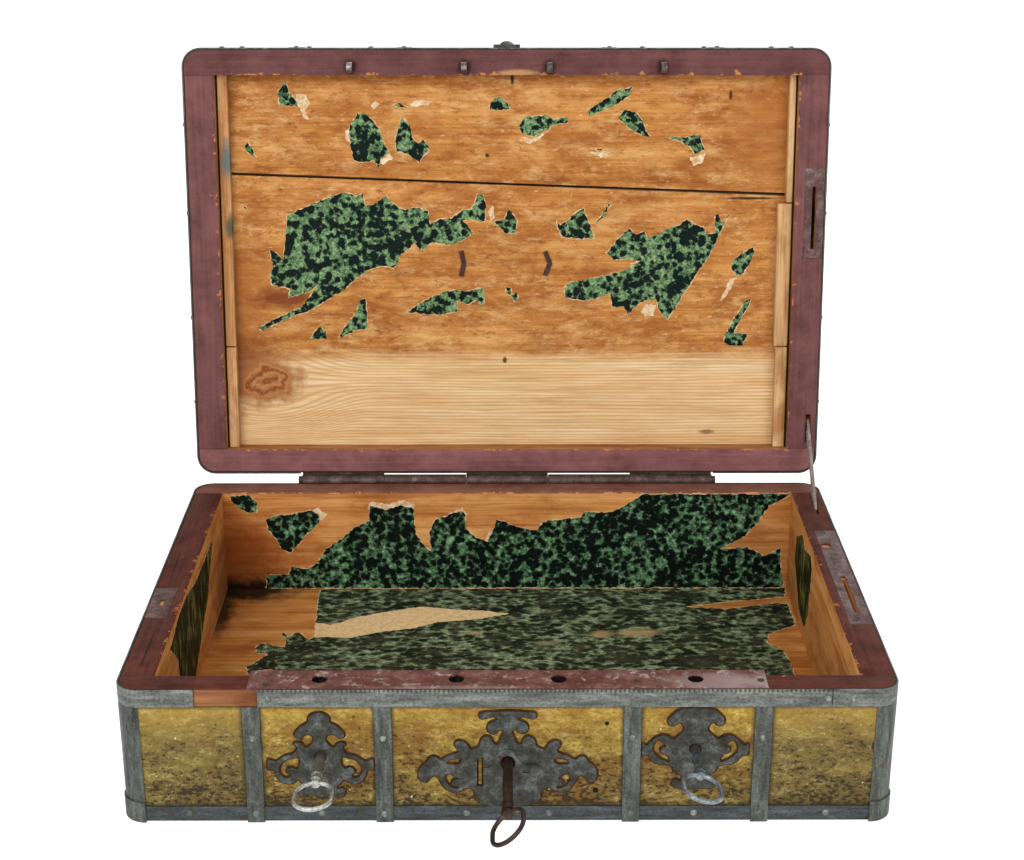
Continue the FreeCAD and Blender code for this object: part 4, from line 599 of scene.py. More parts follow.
# %% the ochre finishes
# Places across and up, and radii, of nail holes in the front
STRAY_HOLES = ((73.4, 84.2, 1.7), (65.9, 26.9, 2.2))
STRAPS_ACROSS = (92.5, 189.5)
# Distances from a strap's middle at which the painted shade and dirt beside it begin and where they are
# darkest
STRAP_SHADE_REACH = (10, 7)
# Heights at which the painted shade and dirt along the base band and under the rim band begin and where they
# are darkest
BAND_SHADE_REACH = ((18, 13.5), (95.5, 98.5))
IRON_SHADE_AND_DIRT, WORN_EDGE, NAIL_HOLE = "#3A3120", "#2E231B", "#0E0B08"


def ochre_finish(name, on_lid, low, high, dark_edge, halos=(), holes=(), bands=()):
    """The brushed and worn ground, with painted shade and dirt along the irons, stray holes and a dark edge,
    all in mm.
    """
    made, tree, place = start_finish(name, on_lid)
    apart = add(tree, "SeparateXYZ", {"Vector": add(tree, "VectorMath", {0: place}, operation="ABSOLUTE")})
    ground, brushed, clouds, lower = brushed_coat(tree, place, apart, low, high)
    ground = weathered_coat(tree, place, ground, brushed, clouds, lower, halos)
    # Painted shade: the ground is darkened beside each strap and along the bands where the irons shade it,
    # with some dirt there too
    for middle in STRAPS_ACROSS:
        gap = add(tree, "Math", {0: apart.outputs["X"], 1: middle * MM}, operation="SUBTRACT")
        beside = add(tree, "Math", {0: gap}, operation="ABSOLUTE")
        begins, darkest = STRAP_SHADE_REACH
        ground = coated(tree, ground, IRON_SHADE_AND_DIRT, beside, begins * MM, darkest * MM, 0.7)
    for begins, darkest in bands:
        ground = coated(tree, ground, IRON_SHADE_AND_DIRT, apart.outputs["Z"], begins * MM, darkest * MM, 0.75)
    for across, up, radius in holes:
        near = away_from(tree, place, (across, GROUND_FACE, up), (radius, radius, radius))
        ground = coated(tree, ground, NAIL_HOLE, near, 1.1, 0.9)
    begins, worn_down = dark_edge
    ground = coated(tree, ground, WORN_EDGE, apart.outputs["Z"], begins * MM, worn_down * MM)
    end_matt(tree, ground, brushed, 0.45, 0.75, 0.4)
    return made


case_ochre = ochre_finish("ochre_ground_brushed_case", False, 14, 96, (109, 110.5), LOCK_HALOS, STRAY_HOLES,
                          BAND_SHADE_REACH)
lid_ochre = ochre_finish("ochre_ground_brushed_lid", True, 60, 146, (118, 116.5))
print("two ochre finishes, with", len(STRAY_HOLES), "stray nail holes")

# %% [markdown]
# ## Irons
# The straps and bands are thin wrought iron, rolled and hammered, gone blue-grey with brown bloom and a few
# rust spots. Iron that old is half oxide, so the straps' metallic value stays below one half and their skin
# is uneven rather than shiny; on a rolled strip the mottling is drawn out along the strip. The lock plates
# are darker and browner, and the keys and staples, which hands and bolts rub, are nearer to bare metal. The
# front band's upper edge was nicked with a file every few millimetres, which a wave along it shows.

# %% iron finishes
NICK_PITCH, NICK_FADE = 3.4, 0.5
IRON_GLOSS = 0.35


def iron_finish(name, deep, middle, worn, rust, metallic, smooth, dull, bloom=0.66, cell=(13, 13, 13),
                nicked_above=None, spots=()):
    """Hammered iron: a mottled skin, rust where a noise passes bloom, roughness from smooth to dull."""
    made, tree, place = start_finish(name)
    skin = mottle(tree, place, cell, 8.0, 0.72)
    colour = add(tree, "ValToRGB", {"Fac": skin}, stops=[(0.34, deep), (0.68, worn), (0.5, middle)])
    grit = add(tree, "TexNoise", {"Vector": place, "Scale": per(2), "Detail": 4.0, "Roughness": 0.65})
    pits = add(tree, "ValToRGB", {"Fac": grit}, stops=[(0.36, "#77726A"), (0.56, "#FFFFFF")])
    colour = add(tree, "MixRGB", {"Fac": 0.55, "Color1": colour, "Color2": pits}, blend_type="MULTIPLY")
    blooms = soft_patch(tree, place, 9, bloom, bloom + 0.08, 6.0)
    colour = add(tree, "MixRGB", {"Fac": blooms, "Color1": colour, "Color2": tone(rust)})
    colour = stained(tree, place, colour, spots)
    if nicked_above is not None:
        apart = add(tree, "SeparateXYZ", {"Vector": place})
        turns = add(tree, "Math", {0: apart.outputs["X"], 1: 2 * math.pi * per(NICK_PITCH)},
                    operation="MULTIPLY")
        wave = add(tree, "Math", {0: turns}, operation="SINE")
        nick = add(tree, "MapRange", {"Value": wave, "From Min": 0.1, "From Max": 0.6})
        top = add(tree, "MapRange", {"Value": apart.outputs["Z"], "From Min": nicked_above * MM,
                                     "From Max": (nicked_above + NICK_FADE) * MM, "To Max": 0.75})
        cut = add(tree, "Math", {0: nick, 1: top}, operation="MULTIPLY")
        colour = add(tree, "MixRGB", {"Fac": cut, "Color1": colour, "Color2": tone("#2A221C")})
    rough = add(tree, "MapRange", {"Value": skin, "From Min": 0.3, "From Max": 0.7, "To Min": dull,
                                   "To Max": smooth})
    end_finish(tree, colour, rough, metallic, grit, 0.22, IRON_GLOSS)
    return made


print("nicks every", NICK_PITCH, "mm")

# %% strips, nails and plates
STRIP = ("#30332F", "#4F534D", "#717670", "#4E3D2B")
RIM_STRIP = ("#474A46", "#6B6F6A", "#8F948D", "#51402D")
BASE_STRIP = ("#2A2D2E", "#43494B", "#5B6266", "#40352A")
UPRIGHT, LEVEL = (6, 6, 40), (40, 40, 6)
NICKED_ABOVE = 110.6
strap_iron = iron_finish("wrought_iron_strip_rolled", *STRIP, 0.4, 0.42, 0.68, 0.62, UPRIGHT)
rim_strip_iron = iron_finish("wrought_iron_strip_rubbed", *RIM_STRIP, 0.4, 0.42, 0.66, 0.64, LEVEL)
nicked_iron = iron_finish("wrought_iron_strip_nicked", *RIM_STRIP, 0.4, 0.42, 0.66, 0.64, LEVEL, NICKED_ABOVE)
base_iron = iron_finish("wrought_iron_strip_dull", *BASE_STRIP, 0.4, 0.45, 0.7, 0.58, LEVEL)
nail_iron = iron_finish("wrought_iron_nail_rubbed", "#454843", "#70756F", "#A3A9A2", "#51402D",
                        0.5, 0.35, 0.55)
plate_iron = iron_finish("wrought_iron_plate_cut", "#201F18", "#3D3D37", "#6C7170", "#45331F",
                         0.4, 0.38, 0.62)
hinge_iron = iron_finish("wrought_iron_hinge_rubbed", "#35231E", "#503B35", "#6E5E58", "#553A2E",
                         0.35, 0.42, 0.62)
rim_iron = iron_finish("rim_plate_iron_red_rubbed", "#402622", "#5C413D", "#7B6B67", "#552A24",
                       0.3, 0.42, 0.62, 0.56)
# The paint is rubbed off the selvage's right end and along its front edge
SELVAGE_SPOTS = (((165, -183, RIM_LEVEL), (60, 14, None), "#9C8886", 0.75),
                 ((-40, -192, RIM_LEVEL), (70, 4, None), "#8F7B78", 0.5))
red_selvage = iron_finish("selvage_iron_red_rubbed", "#45211A", "#6A3A31", "#866059", "#A08C89",
                          0.2, 0.42, 0.62, 0.56, spots=SELVAGE_SPOTS)
print("nine strip and plate finishes")

# %% forged pieces and keys
stay_iron = iron_finish("forged_iron_stay_rubbed", "#6A5C55", "#93867F", "#B9B0AA", "#6B5040",
                        0.5, 0.35, 0.55)
dark_iron = iron_finish("forged_iron_blackened", "#241F1B", "#39332D", "#55504A", "#4A3322",
                        0.5, 0.4, 0.62)
loop_iron = iron_finish("forged_iron_loop_rubbed", "#3A302C", "#6A605C", "#A09A98", "#4E3A2E",
                        0.6, 0.28, 0.5)
rust_iron = iron_finish("forged_iron_clenched_rusty", "#2C1A14", "#4A2E24", "#6A4A3C", "#5E3424",
                        0.35, 0.5, 0.75)
brown_iron = iron_finish("forged_iron_browned_key", "#241710", "#3B2A20", "#57443A", "#5A3A22",
                         0.6, 0.32, 0.55)
bright_steel = iron_finish("filed_steel_handled_key", "#82827C", "#B4B5AE", "#D8D9D4", "#6B6152",
                           0.9, 0.22, 0.42)
blue_steel = iron_finish("filed_steel_greyed_key", "#50555A", "#7C848A", "#A9B2B6", "#5E564A",
                         0.85, 0.26, 0.46)
print("four forged finishes and three keys")

# %% [markdown]
# ## Finishes onto the solids
# A solid's mesh is loose triangles and is left alone: only its material slots are filled. The boards and
# irons that show their edges are copied, their doubles merged and their edges rounded a little with a
# bevel, because two centuries of hands leave no sharp arris. The copy rides on the same body and stands for
# the solid.

# %% who wears which finish
SIDES = ("left", "centre", "right")
CASE_STRAPS = ["case_strap_left_outer", "case_strap_left_inner", "case_strap_right_inner",
               "case_strap_right_outer"]
LOCK_PLATES = [*("escutcheon_" + side for side in SIDES), "keyhole_shield"]
FINISHES = {
    case_long_pine: ["case_back_board"],
    case_front_pine: ["case_front_board"],
    case_floor_pine: ["case_bottom_board"],
    case_end_pine: ["case_left_board", "case_right_board"],
    rail_front_pine: ["lid_front_rail"],
    rail_back_pine: ["lid_back_rail"],
    rail_end_pine: ["lid_left_rail", "lid_right_rail"],
    left_batten_pine: ["lid_left_battens"],
    right_batten_pine: ["lid_right_battens"],
    lid_board_pine: ["lid_front_board", "lid_back_board"],
    case_ochre: ["case_covering"],
    lid_ochre: ["lid_covering"],
    base_iron: ["base_band"],
    rim_strip_iron: ["rim_band_left", "rim_band_right"],
    strap_iron: ["corner_straps", "side_straps", *CASE_STRAPS, "lid_straps", "lid_rim_band", "lid_knob"],
    nail_iron: ["case_nails", "lid_nails"],
    nicked_iron: ["rim_band_front"],
    plate_iron: [*LOCK_PLATES, *("lock_case_" + side for side in SIDES),
                 *("lock_bolt_" + side for side in SIDES)],
    rim_iron: ["rim_slot_plate", "rim_catch_plate", "lid_slot_plate"],
    hinge_iron: ["case_hinge_leaf", "lid_hinge_leaf", "hinge_pin"],
    stay_iron: ["lid_stay"],
    dark_iron: ["bail_handle", "stay_keeper_pin", "stay_pivot_pin"],
    loop_iron: ["lid_staples"],
    rust_iron: ["handle_eyes"],
    brown_iron: ["key_centre"],
    bright_steel: ["key_left"],
    blue_steel: ["key_right"],
    red_selvage: ["selvage_plate"],
}
finish_of = {name: made for made, names in FINISHES.items() for name in names}


def wear(piece, made):
    """Gives a piece one finish and no other."""
    piece.data.materials.clear()
    piece.data.materials.append(made)


for name, made in finish_of.items():
    wear(nodes[name], made)
bare = sorted(set(nodes) - set(finish_of))
print(len(finish_of), "solids have a finish; to be replaced:", bare)

# %% rounded copies
body_of = {name: body for body, names in frame["record"]["behaviour"]["bodies"].items() for name in names}


def choose(piece):
    """Makes one object the only selected and the active one."""
    bpy.ops.object.select_all(action="DESELECT")
    piece.select_set(True)
    bpy.context.view_layer.objects.active = piece


def linked(name, shape):
    """A new object with that mesh or curve, put into the scene and chosen."""
    piece = bpy.data.objects.new(name, shape)
    bpy.context.scene.collection.objects.link(piece)
    choose(piece)
    return piece


MERGE_WITHIN = 0.002
FLAT_WITHIN, BEVEL_FROM, SMOOTH_TO = (math.radians(angle) for angle in (1, 40, 35))


def worn_copy(name, edge):
    """A copy of a solid, doubles merged and edges rounded by that many millimetres, which stands for it."""
    piece = linked("worn_" + name, nodes[name].data.copy())
    bpy.ops.object.mode_set(mode="EDIT")
    bpy.ops.mesh.select_all(action="SELECT")
    bpy.ops.mesh.remove_doubles(threshold=MERGE_WITHIN * MM)
    bpy.ops.mesh.dissolve_limited(angle_limit=FLAT_WITHIN)
    bpy.ops.object.mode_set(mode="OBJECT")
    bevel = piece.modifiers.new("worn_edge", "BEVEL")
    bevel.width = edge * MM
    bevel.segments = 2
    bevel.limit_method = "ANGLE"
    bevel.angle_limit = BEVEL_FROM
    bpy.ops.object.modifier_apply(modifier=bevel.name)
    bpy.ops.object.shade_smooth_by_angle(angle=SMOOTH_TO)
    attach(piece, body_of[name])
    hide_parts(name)
    return piece


WORN_EDGES = {
    0.9: ["case_front_board", "case_back_board", "case_left_board", "case_right_board", "lid_front_rail",
          "lid_back_rail", "lid_left_rail", "lid_right_rail"],
    0.5: ["lid_front_board", "lid_back_board", "lid_left_battens", "lid_right_battens"],
    0.35: ["base_band", "rim_band_front", "rim_band_left", "rim_band_right", *CASE_STRAPS],
    0.3: ["selvage_plate", "rim_slot_plate", "lid_slot_plate", "rim_catch_plate", *LOCK_PLATES],
}
worn = [worn_copy(name, edge) for edge, names in WORN_EDGES.items() for name in names]
print(len(worn), "rounded copies,", sum(len(piece.data.polygons) for piece in worn), "faces")

# %% [markdown]
# ## Torn lining paper
# The chest was lined with paper dabbed with a sponge: nearly black dabs, six or seven millimetres across,
# over a netted green. Under the lid it stayed sharp and light, on the walls it is darker, and on the floor
# it is rubbed and dusty. Two noises make it, one for the net and one that is cut hard for the dabs, with a
# few round drops, and a wide third one crowds the dabs together in some places and thins them out in
# others. Where the sheet tore, its upper skin came away and left pale fibres, which are a finish of their
# own.

# %% sponged paper finishes
PAPER_GLOSS = 0.06


def sponged_finish(name, on_lid, tones, cell, cut, soft, veil, scuffs=()):
    """Sponged paper: cell is a dab's size, cut and soft shape its edge, veil is the dust on it."""
    made, tree, place = start_finish(name, on_lid)
    black, deep, green, light = tones
    laid = add(tree, "Mapping", {"Vector": place, "Scale": [per(size) for size in cell]})
    net = add(tree, "TexNoise", {"Vector": laid, "Scale": 2.0, "Detail": 6.0, "Roughness": 0.74})
    colour = add(tree, "ValToRGB", {"Fac": net}, stops=[(0.38, deep), (0.64, light), (0.5, green)])
    spread = add(tree, "TexNoise", {"Vector": laid, "Scale": 0.7, "Detail": 7.0, "Roughness": 0.7})
    drops = add(tree, "TexVoronoi", {"Vector": laid, "Scale": 0.9})
    blurred = add(tree, "Math", {0: spread, 1: 2.4, 2: drops.outputs["Distance"]}, operation="MULTIPLY_ADD")
    crowd = add(tree, "TexNoise", {"Vector": laid, "Scale": 0.22, "Detail": 3.0})
    shifted = add(tree, "MapRange", {"Value": crowd, "From Min": 0.3, "From Max": 0.7, "To Min": -0.2,
                                     "To Max": 0.2})
    blurred = add(tree, "Math", {0: blurred, 1: shifted}, operation="ADD")
    colour = coated(tree, colour, black, blurred, cut + soft, cut)
    dust = add(tree, "TexNoise", {"Vector": laid, "Scale": 0.3, "Detail": 10.0, "Roughness": 0.76})
    colour = coated(tree, colour, "#8A8468", dust, 0.46, 0.7, veil)
    colour = stained(tree, place, colour, scuffs)
    end_matt(tree, colour, net, 0.5, 0.75, 0.1, PAPER_GLOSS)
    return made


lid_paper = sponged_finish("lining_paper_sponged_lid", True, ("#091816", "#2F4C34", "#5F8056", "#9DB382"),
                           (5.5, 5.5, 5.5), 1.65, 0.2, 0.03)
wall_paper = sponged_finish("lining_paper_sponged_wall", False, ("#060F0B", "#1F3E29", "#527A55", "#9DBF95"),
                            (5, 5, 5), 1.7, 0.4, 0.02)
side_paper = sponged_finish("lining_paper_sponged_side", False, ("#191A09", "#363717", "#5B5A2C", "#8A8754"),
                            (8, 7, 22), 1.74, 0.3, 0.1)
# On the floor the print is rubbed through to the fibre in a few places
FLOOR_SCUFFS = (((84, 79, 15), (12, 9, None), "#A99064", 0.8),
                ((118, 81, 15), (22, 10, None), "#B0986C", 0.8),
                ((34, 62, 15), (16, 5, None), "#8E8560", 0.7),
                ((-28, 81, 15), (8, 5, None), "#B0986C", 0.7))
floor_paper = sponged_finish("lining_paper_sponged_floor", False,
                             ("#161E14", "#3C4A34", "#788C66", "#B4C49C"), (8, 5, 5), 1.64, 0.45, 0.3,
                             FLOOR_SCUFFS)
print("four sponged papers and", len(FLOOR_SCUFFS), "rubbed places on the floor")

# %% torn fibre
def fibre_finish(name, dark, pale):
    """A dry skin, finely mottled from dark to pale, as torn paper fibre is."""
    made, tree, place = start_finish(name)
    fibres = add(tree, "TexNoise", {"Vector": place, "Scale": per(5), "Detail": 7.0, "Roughness": 0.75})
    colour = add(tree, "ValToRGB", {"Fac": fibres}, stops=[(0.36, dark), (0.62, pale)])
    end_matt(tree, colour, fibres, 0.75, 0.95, 0.1)
    return made


torn_fibre = fibre_finish("lining_paper_torn_fibre", "#B98A52", "#D8BE94")
clean_fibre = fibre_finish("lining_paper_torn_clean", "#C48C50", "#E6D8BC")
floor_fibre = fibre_finish("lining_paper_torn_floor", "#D0AC74", "#EBD0A0")
print("three finishes for torn edges")

# %% [markdown]
# ## Torn sheets on the boards
# What is left of the lining clings to the lid's boards, the walls and the floor in pieces with ragged
# edges. A mask in the finish could cut them out of a plain sheet, but their edges would then have no
# thickness. Here each outline is read as a row of pixels in the photograph, sight lines carry it
# onto the board, and it gets a ragged point about every two millimetres. A flat curve is filled inside it,
# made a mesh and thickened. Two skins lie on each other, the pale fibre below and the print, a little
# smaller, above it, so that a pale torn edge shows all round.

# %% outlines of the paper, in pixels of the photograph
LID_ISLANDS = [
    [(287, 215), (314, 203), (345, 192), (356, 196), (363, 193), (365, 205), (373, 205), (386, 196),
     (396, 205), (405, 210), (417, 207), (429, 211), (430, 224), (440, 219), (451, 218), (462, 210),
     (472, 209), (477, 194), (484, 195), (486, 208), (485, 222), (472, 220), (463, 220), (474, 233),
     (466, 239), (451, 245), (432, 243), (420, 251), (415, 242), (409, 249), (402, 254), (394, 269),
     (383, 266), (369, 270), (356, 279), (344, 290), (327, 300), (308, 312), (297, 315), (280, 322),
     (262, 331), (258, 328), (272, 320), (291, 312), (303, 305), (318, 286), (304, 294), (288, 298),
     (290, 289), (272, 285), (270, 275), (273, 267), (269, 249), (278, 254), (283, 260), (285, 244)],
    [(606, 253), (614, 244), (619, 237), (629, 228), (636, 235), (644, 231), (647, 238), (658, 234),
     (669, 228), (679, 225), (687, 219), (695, 224), (703, 227), (706, 234), (715, 233), (715, 215),
     (718, 214), (722, 223), (730, 214), (722, 229), (717, 240), (710, 255), (699, 270), (690, 285),
     (682, 296), (675, 309), (668, 319), (662, 315), (658, 307), (656, 299), (645, 301), (634, 307),
     (628, 315), (624, 307), (612, 307), (610, 294), (595, 299), (581, 301), (564, 297), (564, 288),
     (570, 282), (588, 279), (610, 274), (625, 270), (640, 261), (629, 259), (614, 260)],
    [(278, 90), (286, 81), (289, 92), (298, 102), (297, 106), (279, 106)],
    [(349, 128), (357, 113), (366, 114), (374, 121), (381, 132), (385, 145), (390, 153), (381, 159),
     (379, 170), (374, 160), (364, 163), (354, 160), (350, 145)],
    [(395, 137), (402, 116), (410, 125), (412, 137), (418, 143), (424, 139), (430, 150), (422, 157),
     (419, 163), (412, 157), (404, 153), (396, 151)],
    [(489, 110), (491, 101), (500, 96), (507, 103), (511, 110)],
    [(393, 106), (398, 102), (407, 108)],
    [(244, 150), (247, 141), (253, 149), (256, 158)],
    [(519, 126), (525, 117), (546, 115), (553, 119), (567, 117), (568, 123), (553, 125), (546, 131),
     (534, 137), (522, 133)],
    [(587, 111), (610, 96), (619, 89), (633, 87), (629, 96), (615, 105), (601, 112), (589, 116)],
    [(618, 117), (625, 110), (635, 112), (642, 119), (645, 128), (650, 137), (638, 134), (629, 129)],
    [(666, 137), (684, 137), (700, 134), (704, 147), (705, 150), (695, 154), (690, 147), (681, 142)],
    [(586, 147), (601, 149), (615, 154), (603, 151)],
    [(493, 222), (504, 219), (509, 209), (513, 214), (517, 220), (516, 233), (506, 234), (499, 227)],
    [(556, 217), (560, 225), (568, 220), (575, 213), (583, 207), (587, 218), (591, 227), (595, 238),
     (579, 239), (562, 237), (558, 229)],
    [(609, 203), (611, 205), (604, 216), (595, 225)],
    [(731, 264), (734, 258), (742, 253), (754, 247), (754, 254), (749, 264), (745, 271), (740, 277),
     (736, 275), (732, 270)],
    [(723, 342), (725, 335), (734, 318), (745, 301), (752, 299), (749, 305), (740, 320), (734, 333),
     (745, 333), (747, 336), (742, 346), (729, 345)],
    [(311, 339), (314, 332), (320, 327), (326, 331), (327, 339)],
    [(338, 338), (348, 322), (356, 313), (360, 300), (366, 298), (367, 315), (368, 329), (356, 330),
     (348, 335)],
    [(406, 313), (416, 305), (432, 297), (445, 291), (456, 290), (468, 291), (483, 287), (485, 296),
     (483, 307), (476, 300), (468, 305), (457, 300), (457, 311), (440, 315), (428, 315), (417, 313)],
    [(506, 287), (511, 288), (512, 294), (517, 292), (518, 298), (515, 302), (511, 295), (506, 292)],
    [(242, 204), (246, 207), (249, 215)],
]
BACK_ISLANDS = [
    [(230, 496), (248, 495), (257, 502), (257, 512), (248, 513), (238, 507), (232, 502)],
    [(266, 520), (278, 515), (292, 514), (310, 510), (319, 515), (319, 523), (308, 533), (298, 545),
     (290, 553), (282, 549), (276, 539), (268, 529)],
    [(266, 575), (288, 574), (292, 567), (308, 569), (317, 563), (325, 549), (341, 539), (355, 527),
     (369, 521), (370, 506), (387, 510), (400, 506), (413, 508), (416, 533), (424, 545), (431, 551),
     (429, 533), (435, 519), (449, 515), (461, 511), (465, 515), (466, 529), (476, 537), (488, 542),
     (492, 533), (497, 519), (506, 522), (521, 528), (537, 530), (543, 521), (562, 519), (581, 517),
     (584, 512), (611, 512), (625, 505), (643, 494), (700, 494), (790, 493), (788, 497), (769, 506),
     (758, 522), (745, 536), (720, 549), (747, 547), (765, 556), (781, 547), (781, 563), (783, 589),
     (640, 591), (500, 592), (380, 592), (266, 592), (267, 583)],
]
# The floor's print has torn out in one long strip that opens to the left; the skin under it stayed
FLOOR_SHEET = [(318, 601), (321, 587), (420, 586), (560, 585), (680, 585), (786, 585), (785, 597),
               (726, 602), (686, 607), (726, 609), (776, 603), (788, 604), (795, 625), (769, 634),
               (767, 643), (783, 650), (790, 662), (800, 690), (812, 760), (800, 830), (640, 842),
               (520, 838), (400, 850), (270, 835), (258, 770), (268, 700), (278, 675), (272, 669),
               (258, 671), (248, 675), (246, 667), (258, 661), (268, 654), (257, 653), (255, 648),
               (260, 643), (276, 646), (284, 647), (286, 641), (282, 635), (284, 632), (289, 637),
               (294, 633), (301, 633), (308, 640), (314, 637)]
TORN_STRIP = [(328, 637), (350, 638), (380, 632), (410, 629), (440, 622), (480, 619), (509, 614),
              (485, 611), (460, 610), (420, 607), (380, 613), (350, 619), (340, 623), (330, 625)]
SHEET_END = [(316, 623), (317, 611)]
FLOOR_UNDER = [FLOOR_SHEET + SHEET_END]
FLOOR_ISLANDS = [FLOOR_SHEET + TORN_STRIP + SHEET_END]
LEFT_ISLANDS = [[(213, 537), (210, 566), (208, 596), (203, 628), (195, 680), (180, 680), (178, 660),
                 (170, 650), (179, 614), (187, 594), (195, 583), (203, 563)]]
RIGHT_ISLANDS = [[(797, 536), (803, 535), (805, 549), (811, 556), (812, 570), (810, 591), (808, 616),
                  (804, 628), (799, 609), (797, 584), (795, 559)]]
OUTLINES = LID_ISLANDS + BACK_ISLANDS + FLOOR_ISLANDS + LEFT_ISLANDS + RIGHT_ISLANDS
print(len(OUTLINES), "outlines of", sum(len(island) for island in OUTLINES), "points")

# %% from pixels to boards
LID_PANEL_LEVEL, FLOOR_LEVEL = 133.4, 15
WALL_ACROSS, WALL_DEEP = CASE_OPENING
PAPER_FOOT, PAPER_TOP = 15.4, 112
STAND, HALF_TURN = Matrix.Rotation(math.pi / 2, 4, "X"), Matrix.Rotation(math.pi, 4, "X")
TO_RIGHT, TO_LEFT = (Matrix.Rotation(turn * math.pi / 2, 4, "Z") for turn in (1, -1))
# Each board face: a matrix from its flat X and Y to the chest, its Z looking out of the board, and its bounds
BOARD_FACES = {
    "lid": (OPENED @ Matrix.Translation((0, 0, LID_PANEL_LEVEL * MM)) @ HALF_TURN, (-250, -171, 250, 171)),
    "back": (Matrix.Translation((0, WALL_DEEP * MM, 0)) @ STAND, (-262.4, PAPER_FOOT, 262.4, PAPER_TOP)),
    "floor": (Matrix.Translation((0, 0, FLOOR_LEVEL * MM)), (-262.4, -172.6, 262.4, 170.9)),
    "left": (Matrix.Translation((-WALL_ACROSS * MM, 0, 0)) @ TO_RIGHT @ STAND,
             (-172.4, PAPER_FOOT, 170.6, PAPER_TOP)),
    "right": (Matrix.Translation((WALL_ACROSS * MM, 0, 0)) @ TO_LEFT @ STAND,
              (-170.6, PAPER_FOOT, 172.4, PAPER_TOP)),
}


def on_board(board, pixels):
    """The flat places, in millimetres on a board's face, that the camera sees at those pixels."""
    matrix, (left, low, right, high) = BOARD_FACES[board]
    face_out = matrix.to_3x3() @ Vector((0, 0, 1))
    back_to_flat = matrix.inverted()
    places = []
    for across, down in pixels:
        ray = sight_line(across, down)
        reach = (matrix.translation - CAMERA_PLACE).dot(face_out) / ray.dot(face_out)
        flat = back_to_flat @ (CAMERA_PLACE + ray * reach) / MM
        places.append(Vector((min(max(flat.x, left), right), min(max(flat.y, low), high))))
    return places


print(len(BOARD_FACES), "board faces carry paper")

# %% one torn sheet
TEAR_STEP, SHEET_MERGE = 2.2, 0.02


def torn(places, grow, rough, chance):
    """An outline with ragged points every few millimetres, moved outwards by grow, all in millimetres."""
    turn = sum(a.x * b.y - b.x * a.y for a, b in zip(places, places[1:] + places[:1]))
    outward = 1 if turn > 0 else -1
    ragged = []
    for begin, end in zip(places, places[1:] + places[:1]):
        run = end - begin
        side = Vector((run.y, -run.x)).normalized() * outward if run.length > 0 else Vector((0, 0))
        count = max(1, round(run.length / TEAR_STEP))
        for number in range(count):
            ragged.append(begin + run * number / count + side * (grow + chance.uniform(-rough, rough)))
    return ragged


def paper_sheet(name, board, islands, grow, rough, lift, thick, made, body, seed):
    """One layer of torn paper on a board: flat filled outlines, thickened and carried to the board's face."""
    chance = random.Random(seed)
    outline = bpy.data.curves.new(name, "CURVE")
    outline.dimensions = "2D"
    outline.fill_mode = "BOTH"
    for island in islands:
        ragged = torn(on_board(board, island), grow, rough, chance)
        run = outline.splines.new("POLY")
        run.points.add(len(ragged) - 1)
        for point, flat in zip(run.points, ragged):
            point.co = (flat.x * MM, flat.y * MM, 0, 1)
        run.use_cyclic_u = True
    linked(name, outline)
    bpy.ops.object.convert(target="MESH")
    sheet = bpy.context.object
    bpy.ops.object.mode_set(mode="EDIT")
    bpy.ops.mesh.select_all(action="SELECT")
    bpy.ops.mesh.remove_doubles(threshold=SHEET_MERGE * MM)
    bpy.ops.mesh.normals_make_consistent(inside=False)
    bpy.ops.object.mode_set(mode="OBJECT")
    solid = sheet.modifiers.new("paper_thickness", "SOLIDIFY")
    solid.thickness = thick * MM
    solid.offset = 0
    bpy.ops.object.modifier_apply(modifier=solid.name)
    sheet.matrix_world = BOARD_FACES[board][0] @ Matrix.Translation((0, 0, (lift + thick / 2) * MM))
    bpy.ops.object.transform_apply(location=True, rotation=True, scale=True)
    wear(sheet, made)
    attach(sheet, body)
    return sheet


print("a ragged point about every", TEAR_STEP, "mm")

# %% lay the paper
UNDER_SKIN, PRINT_SKIN, GLUE = 0.1, 0.12, 0.03
# How far a torn edge lies outside its outline, and how ragged it is; then the first seed of the printed skins
UNDER_TEAR, PRINT_TEAR = (0.25, 0.8), (-0.3, 0.7)
PRINT_SEED = 50
LINING = {"lid": (LID_ISLANDS, LID_ISLANDS, lid_paper, torn_fibre, "lid"),
          "back": (BACK_ISLANDS, BACK_ISLANDS, wall_paper, torn_fibre, "case"),
          "floor": (FLOOR_ISLANDS, FLOOR_UNDER, floor_paper, floor_fibre, "case"),
          "left": (LEFT_ISLANDS, LEFT_ISLANDS, side_paper, torn_fibre, "case"),
          "right": (RIGHT_ISLANDS, RIGHT_ISLANDS, side_paper, torn_fibre, "case")}
for count, (board, (islands, skins, printed, fibre, body)) in enumerate(LINING.items()):
    under = paper_sheet(f"paper_{board}_under", board, skins, *UNDER_TEAR, GLUE, UNDER_SKIN, fibre, body,
                        count)
    upper = paper_sheet(f"paper_{board}_print", board, islands, *PRINT_TEAR, GLUE + UNDER_SKIN, PRINT_SKIN,
                        printed, body, PRINT_SEED + count)
    node = "paper_lid" if board == "lid" else "paper_case"
    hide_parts(node)
    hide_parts(node)
    print(board, "paper:", len(islands), "outlines,", len(upper.data.polygons), "faces")

# %% [markdown]
# ## Pale scraps
# Where only the paper's lowest skin stayed behind, thin cream scraps cling to the lid and the back wall,
# most of them beside a printed piece. They are the same kind of torn sheet as the lining, cut from the
# photograph's outlines, but of one layer and in the clean fibre, because nothing of the print is left on
# them.

